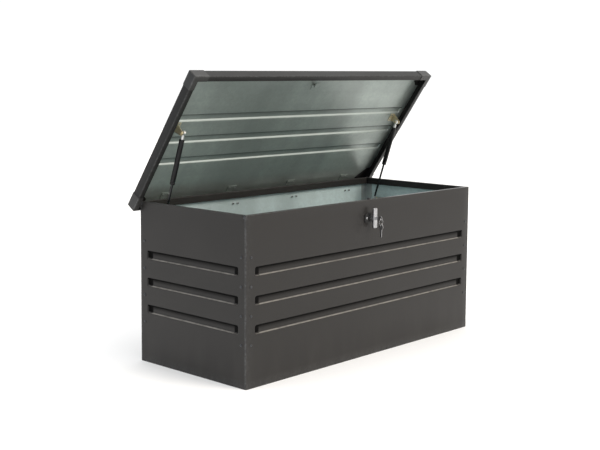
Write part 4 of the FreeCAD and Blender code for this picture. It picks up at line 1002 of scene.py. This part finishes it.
    def side_rail(self, sign: int) -> Surface:
        """Side rail between the long rails; its web runs under theirs and its flanges stop short."""
        section = self.channel(self.rail, self.rail)
        low, high = self.front + self.rail, self.back - self.back_flange
        inset = self.wall + self.rail_gap
        y = stations(self.front + inset, self.back - inset, 0.04, (low, high), 0.001, 3)
        y = -np.sort(-y) if sign < 0 else y
        y_grid, d = np.meshgrid(y, section[:, 0])
        z = np.broadcast_to(section[:, 1:], d.shape)
        middle = (y[1:] + y[:-1]) / 2
        between = (middle > low) & (middle < high)
        on_web = (section[1:, 0] + section[:-1, 0]) / 2 < self.bend * 0.8
        keep = between[None, :] | on_web[:, None]
        return shell(self.carry(sign * (self.side - d), y_grid, z), self.wall, keep, self.folded_wear(d, z))

    def cap(self, x_sign: int, is_back: bool) -> Surface:
        """Corner cap: a channel carried round the corner, its two legs mitred where they meet.

        Along the way u the outline runs down one leg, round an arc and down the other; at the depth d the
        arc's radius is what is left of the corner, and the legs end on the mitre from corner to corner.
        """
        y_flange = self.back_flange if is_back else self.rail
        lip = self.back_lip if is_back else self.rail
        deep, under = self.rail + self.cap_wall, lip + self.cap_wall
        high, low, bend = self.top + self.cap_wall, self.bottom - self.cap_wall, self.bend
        rows = np.concatenate([
            [[1.0, low], [0.5, low]], arc((bend, low + bend), bend, 270.0, 180.0) * (1 / deep, 1),
            [[0.0, low + bend + 0.002], [0.0, 0.01], [0.0, high - bend - 0.002]],
            arc((bend, high - bend), bend, 180.0, 90.0) * (1 / deep, 1), [[0.5, high], [1.0, high]],
        ])
        share, z = rows[:, 0][:, None], rows[:, 1][:, None]
        at_bottom = z < 0.0
        fold_x = share * deep
        fold_y = share * np.where(at_bottom, under, y_flange + self.cap_wall)
        radius = np.maximum(self.cap_corner - fold_x, 0.0004)
        turn = np.radians(np.linspace(0.0, 90.0, 9))[None, :]
        leg = np.array([0.0, 0.5, 0.9, 1.0])[None, :]
        mid_x, mid_y = -fold_x - radius, -fold_y - radius
        first_x = -(self.cap_long_leg + self.cap_wall) * (1 - leg) + mid_x * leg
        second_y = mid_y * (1 - leg) - (self.cap_side_leg + self.cap_wall) * leg
        first_y, second_x = np.broadcast_to(-fold_y, first_x.shape), np.broadcast_to(-fold_x, second_y.shape)
        u = np.concatenate([first_x, mid_x + radius * np.sin(turn), second_x], 1)
        v = np.concatenate([first_y, mid_y + radius * np.cos(turn), second_y], 1)
        keep = np.ones(len(u[0]), bool)
        keep[[3, 13]] = False
        u, v = u[:, keep], v[:, keep]
        x = x_sign * (self.side + self.cap_wall + u)
        y = self.back + self.cap_wall + v if is_back else self.front - self.cap_wall - v
        z = np.broadcast_to(z, u.shape)
        wear = self.folded_wear(-np.maximum(u, v), np.clip(z, self.bottom, self.top))
        grid = self.carry(x, y, z)
        if (x_sign > 0) == is_back:
            grid, wear = grid[:, ::-1], wear[:, ::-1]
        return shell(grid, self.cap_wall, wear=wear)

    def build(self) -> None:
        """Make the skin, the rails and the caps, and finish the small plates under the skin."""
        fit(as_object(self.skin(), "lid_skin", (COAT, LID_ZINC)), Body.LID, ["lid_sheet"])
        for name, is_back in (("front", False), ("back", True)):
            piece = as_object(self.long_rail(is_back), f"lid_rail_{name}_folded", (SHADED_RAIL_COAT, SHADED_RAIL_COAT))
            fit(piece, Body.LID, [f"lid_rail_{name}"])
            for side, sign in (("left", -1), ("right", 1)):
                cap = f"lid_cap_{name}_{side}"
                piece = as_object(self.cap(sign, is_back), cap + "_folded", (CAP_COAT, CAP_COAT))
                fit(piece, Body.LID, [cap])
        for side, sign in (("left", -1), ("right", 1)):
            piece = as_object(self.side_rail(sign), f"lid_rail_{side}_folded", (SHADED_RAIL_COAT, SHADED_RAIL_COAT))
            fit(piece, Body.LID, [f"lid_rail_{side}"])
        softened("lid_corner_gussets", Body.LID, SHADED_RAIL_COAT, 0.0003)
        softened("lid_keeper", Body.LID, LID_ZINC)
        dress_node("lid_rivets", LID_ZINC)


# ------------------------------------------------------------------ hinges and struts

@dataclass
class Hinges:
    """Four butt hinges: body leaves and pins in bright zinc, lid leaves in the lid's zinc."""

    count: int = 4

    def build(self) -> None:
        """Break the leaves' edges and finish the pins."""
        for index in range(1, self.count + 1):
            softened(f"hinge_{index}_body_leaf", Body.CABINET, BRIGHT_ZINC)
            softened(f"hinge_{index}_lid_leaf", Body.LID, LID_ZINC)
        dress_node("hinge_pins", BRIGHT_ZINC)


@dataclass
class GasStrut:
    """One gas strut: a painted tube with a rolled end and seal, its rod, eyes, studs and brackets."""

    side: str
    radius: float = 0.009
    bore: float = 0.0075
    rod_bore: float = 0.00405
    start: float = 0.0228
    length: float = 0.1635
    end_wall: float = 0.006
    crown: float = 0.0028
    foot: float = 0.0035

    def line(self) -> tuple[Vector, Vector]:
        """The upper pivot and the way down along the strut."""
        joint = next(item for item in frame["joints"] if item["name"] == f"strut_{self.side}_pivot")
        stroke = next(item for item in frame["joints"] if item["name"] == f"strut_{self.side}_stroke")
        return Vector(joint["pos_m"]), -Vector(stroke["axis"]).normalized()

    def tube(self) -> Surface:
        """Tube turned from its section: a domed top, a rolled groove near the foot and a seal's recess."""
        low, high = -(self.start + self.length), -self.start
        crown = arc((self.radius - self.crown, high - self.crown), self.crown, 90.0, 0.0)
        groove = np.array([[0.0, 0.0130], [0.0, 0.0112], [0.0008, 0.0102], [0.0010, 0.0094], [0.0008, 0.0086],
                           [0.0, 0.0076], [0.0, 0.0060]])
        rolled = np.stack([self.radius - groove[:, 0], low + groove[:, 1]], -1)
        foot = arc((self.radius - self.foot, low + self.foot), self.foot, 0.0, -90.0)
        seat = np.array([[0.0050, low], [0.0046, low + 0.0008], [self.rod_bore, low + 0.0012],
                         [self.rod_bore, low + self.end_wall], [self.bore, low + self.end_wall],
                         [self.bore, high - self.end_wall]])
        profile = np.concatenate([[[0.0, high]], crown, rolled, foot, seat, [[0.0, high - self.end_wall]]])
        return lathe(profile, LATHE_STEPS)

    def build(self) -> None:
        """Make the tube along the strut's line and finish the fittings."""
        pivot, down = self.line()
        turn = (-down).to_track_quat("Z", "Y").to_matrix().to_4x4()
        surface = self.tube().moved(Matrix.Translation(pivot) @ turn)
        name = f"strut_{self.side}"
        tube_body, rod_body = Body(f"strut_tube_{self.side}"), Body(f"strut_rod_{self.side}")
        tube = as_object(surface, name + "_tube_rolled", (TUBE_PAINT,))
        fit(tube, tube_body, [name + "_tube"])
        softened(name + "_upper_eye", tube_body, BRIGHT_ZINC, 0.0006)
        softened(name + "_lower_eye", rod_body, BRIGHT_ZINC, 0.0006)
        softened(name + "_lower_stud", rod_body, YELLOW_ZINC, 0.0004)
        softened(f"strut_lid_bracket_{self.side}", Body.LID, YELLOW_ZINC, 0.0005)
        softened(f"strut_body_bracket_{self.side}", Body.CABINET, YELLOW_ZINC, 0.0005)
        dress_node(name + "_rod", ROD)


# ------------------------------------------------------------------ lock

@dataclass
class Lock:
    """T-handle lock with its plate, cylinder, cam, keys and split ring."""

    height: float = 0.492
    plate_front: float = -0.2635
    screw_pitch: float = 0.046
    screw_spins: tuple[float, float] = (0.35, 0.85)
    ring_radius: float = 0.010
    ring_wire: float = 0.0008
    ring_flatness: float = 0.38
    ring_start: float = 2.2

    def plate_screws(self) -> None:
        """The two cross-headed screws of the face plate."""
        screw = PLATE_SCREW.surface()
        parts = []
        for side, spin in zip((-1, 1), self.screw_spins):
            place = (side * self.screw_pitch / 2, self.plate_front, self.height)
            parts.append(screw.moved(facing((0, -1, 0), place, spin)))
        piece = as_object(joined(parts), "lock_plate_cross_screws", (CHROME,))
        fit(piece, Body.CABINET, ["lock_plate_screws"])

    def split_ring(self) -> None:
        """Split ring of flat wire: two turns of a helix side by side, with a crossing between them."""
        low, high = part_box("key_ring")
        centre = (low + high) / 2
        turns = np.linspace(0.0, 2.0, 145)
        angle = 2.0 * np.pi * turns + self.ring_start
        half = self.ring_wire * self.ring_flatness
        shift = half * (2.0 * smooth((turns - 0.90) / 0.20) - 1.0)
        radius = self.ring_radius
        path = np.stack([centre.x + radius * np.cos(angle), centre.y + shift * 1.03,
                         centre.z + radius * np.sin(angle)], -1)
        outward = np.stack([np.cos(angle), np.zeros_like(angle), np.sin(angle)], -1)
        corner = np.radians(np.linspace(0.0, 360.0, 12, endpoint=False))
        section = np.stack([self.ring_wire * 0.60 * np.sign(np.cos(corner)) * np.abs(np.cos(corner)) ** 0.6,
                            half * 0.94 * np.sign(np.sin(corner)) * np.abs(np.sin(corner)) ** 0.6], -1)
        ring = swept(path, section, outward)
        fit(as_object(ring, "key_split_ring", (CHROME,)), Body.RING, ["key_ring"])

    def build(self) -> None:
        """Make the screws and the ring, and finish the castings."""
        self.plate_screws()
        self.split_ring()
        softened("lock_face_plate", Body.CABINET, LOCK_BLACK, 0.0009, 3)
        dress_node("lock_gasket", BLACK_RUBBER)
        softened("lock_housing", Body.CABINET, LOCK_BLACK, 0.0005)
        dress_node("lock_housing_nut", BRIGHT_ZINC)
        dress_node("lock_handle", CHROME)
        softened("lock_cam", Body.HANDLE, BRIGHT_ZINC, 0.0004)
        dress_node("lock_cam_nut", BRIGHT_ZINC)
        dress_node("lock_plug", CHROME)
        softened("key", Body.KEY, CHROME, 0.00025)
        softened("spare_key", Body.SPARE, CHROME, 0.00025)
        dress_node("rim_buffer", BLACK_RUBBER)


# ------------------------------------------------------------------ studio

@dataclass
class Studio:
    """Pale floor, soft light and the camera."""

    floor_radius: float = 14.0
    camera_place: tuple[float, float, float] = (-2.9790, -2.6910, 1.0164)
    yaw: float = 47.103
    pitch: float = 6.125
    roll: float = 0.408
    lens: float = 66.33
    shift_down: float = 0.0667
    surround: tuple[float, float, float] = (0.33, 0.38, 0.46)
    warm: tuple[float, float, float] = (0.76, 0.70, 0.63)
    overhead: tuple[float, float, float] = (1.50, 1.49, 1.47)
    sweep: tuple[float, float, float] = (1.05, 1.05, 1.05)

    def floor(self) -> None:
        """A round pale floor, faintly mottled like painted concrete."""
        edge = arc((0.0, 0.0), self.floor_radius, 0.0, 360.0, 97)[:-1]
        mesh = bpy.data.meshes.new("floor")
        mesh.from_pydata([(x, y, 0.0) for x, y in edge], [], [tuple(range(len(edge)))])
        made = bpy.data.materials.new("pale_floor")
        made.use_nodes = True
        tree = Tree(made.node_tree)
        colour = tree.blend(tree.noise(1.5, 4.0), rgba((0.91, 0.91, 0.91)), rgba((0.94, 0.94, 0.94)))
        tree.surface({"Base Color": colour, "Roughness": 0.9, "Specular IOR Level": 0.1})
        mesh.materials.append(made)
        floor = bpy.data.objects.new("floor", mesh)
        bpy.context.scene.collection.objects.link(floor)

    def forward(self) -> Vector:
        """The way that the camera looks."""
        yaw, pitch = math.radians(self.yaw), math.radians(self.pitch)
        return Vector((math.sin(yaw) * math.cos(pitch), math.cos(yaw) * math.cos(pitch), -math.sin(pitch)))

    def world(self) -> None:
        """A soft surround: bright overhead, warm before the front, cool at the left, a white sweep behind."""
        world = bpy.data.worlds.new("studio")
        bpy.context.scene.world = world
        world.use_nodes = True
        tree = Tree(world.node_tree)
        way = tree.add("TexCoord").outputs["Generated"]

        def towards(direction: Sequence[float], low: float, high: float) -> bpy.types.NodeSocket:
            dot = tree.add("VectorMath", {0: way, 1: tuple(direction)}, operation="DOT_PRODUCT")
            return tree.spread(dot.outputs["Value"], low, high)

        around = tree.blend(towards((0.55, -0.83, 0.0), -0.2, 1.0), rgba(self.surround),
                            rgba(self.warm))
        colour = tree.blend(towards((0.0, 0.0, 1.0), 0.10, 0.80), around, rgba(self.overhead))
        colour = tree.blend(towards(self.forward(), 0.74, 0.90), colour, rgba(self.sweep))
        back = tree.add("Background", {"Color": colour, "Strength": 1.0})
        tree.add("OutputWorld", {"Surface": back.outputs[0]})

    def sun(self, name: str, way: Sequence[float], energy: float, softness: float,
            colour: Sequence[float]) -> None:
        """A broad distant light that shines from `way` towards the box."""
        lamp = bpy.data.lights.new(name, "SUN")
        lamp.energy = energy
        lamp.angle = math.radians(softness)
        lamp.color = tuple(colour)
        made = bpy.data.objects.new(name, lamp)
        made.rotation_mode = "QUATERNION"
        made.rotation_quaternion = Vector(way).to_track_quat("Z", "Y")
        bpy.context.scene.collection.objects.link(made)

    def panel_light(self, name: str, place: Sequence[float], aim: Sequence[float], size: Sequence[float],
                    power: float, colour: Sequence[float]) -> None:
        """A rectangular soft box."""
        lamp = bpy.data.lights.new(name, "AREA")
        lamp.shape = "RECTANGLE"
        lamp.size, lamp.size_y = size
        lamp.energy = power
        lamp.color = tuple(colour)
        made = bpy.data.objects.new(name, lamp)
        made.location = place
        made.rotation_mode = "QUATERNION"
        made.rotation_quaternion = (Vector(place) - Vector(aim)).to_track_quat("Z", "Y")
        bpy.context.scene.collection.objects.link(made)

    def camera(self) -> None:
        """The camera, level but for a slight fall, with its picture shifted down a little."""
        data = bpy.data.cameras.new("camera")
        data.sensor_width = 36.0
        data.lens = self.lens
        data.shift_y = -self.shift_down
        data.clip_end = 300.0
        made = bpy.data.objects.new("camera", data)
        yaw, roll = math.radians(self.yaw), math.radians(self.roll)
        forward = self.forward()
        level = Vector((math.cos(yaw), -math.sin(yaw), 0.0))
        upright = level.cross(forward)
        right = level * math.cos(roll) + upright * math.sin(roll)
        up = upright * math.cos(roll) - level * math.sin(roll)
        turn = Matrix((right, up, -forward)).transposed()
        made.matrix_world = Matrix.Translation(Vector(self.camera_place)) @ turn.to_4x4()
        bpy.context.scene.collection.objects.link(made)
        bpy.context.scene.camera = made

    def build(self) -> None:
        """Set up everything round the box."""
        bpy.context.scene.view_settings.view_transform = "Standard"
        self.floor()
        self.world()
        self.sun("key_light", (0.25, -0.78, 0.56), 1.6, 28.0, (1.0, 0.92, 0.82))
        self.panel_light("left_fill", (-3.2, -0.8, 2.6), (-0.3, 0.0, 0.4), (2.4, 2.0), 6.0, (0.62, 0.80, 1.0))
        self.camera()


# ------------------------------------------------------------------ everything


def main() -> None:
    """Build the box from its frame outwards, then the studio."""
    logging.basicConfig(level=logging.INFO, format="%(name)s: %(message)s")
    carcass = Carcass()
    carcass.build()
    Fasteners(carcass).build()
    Lid().build()
    Hinges().build()
    for side in ("left", "right"):
        GasStrut(side).build()
    dress_node("strut_upper_studs", YELLOW_ZINC)
    Lock().build()
    Studio().build()
    bpy.context.view_layer.update()


if __name__ == "__main__":
    main()
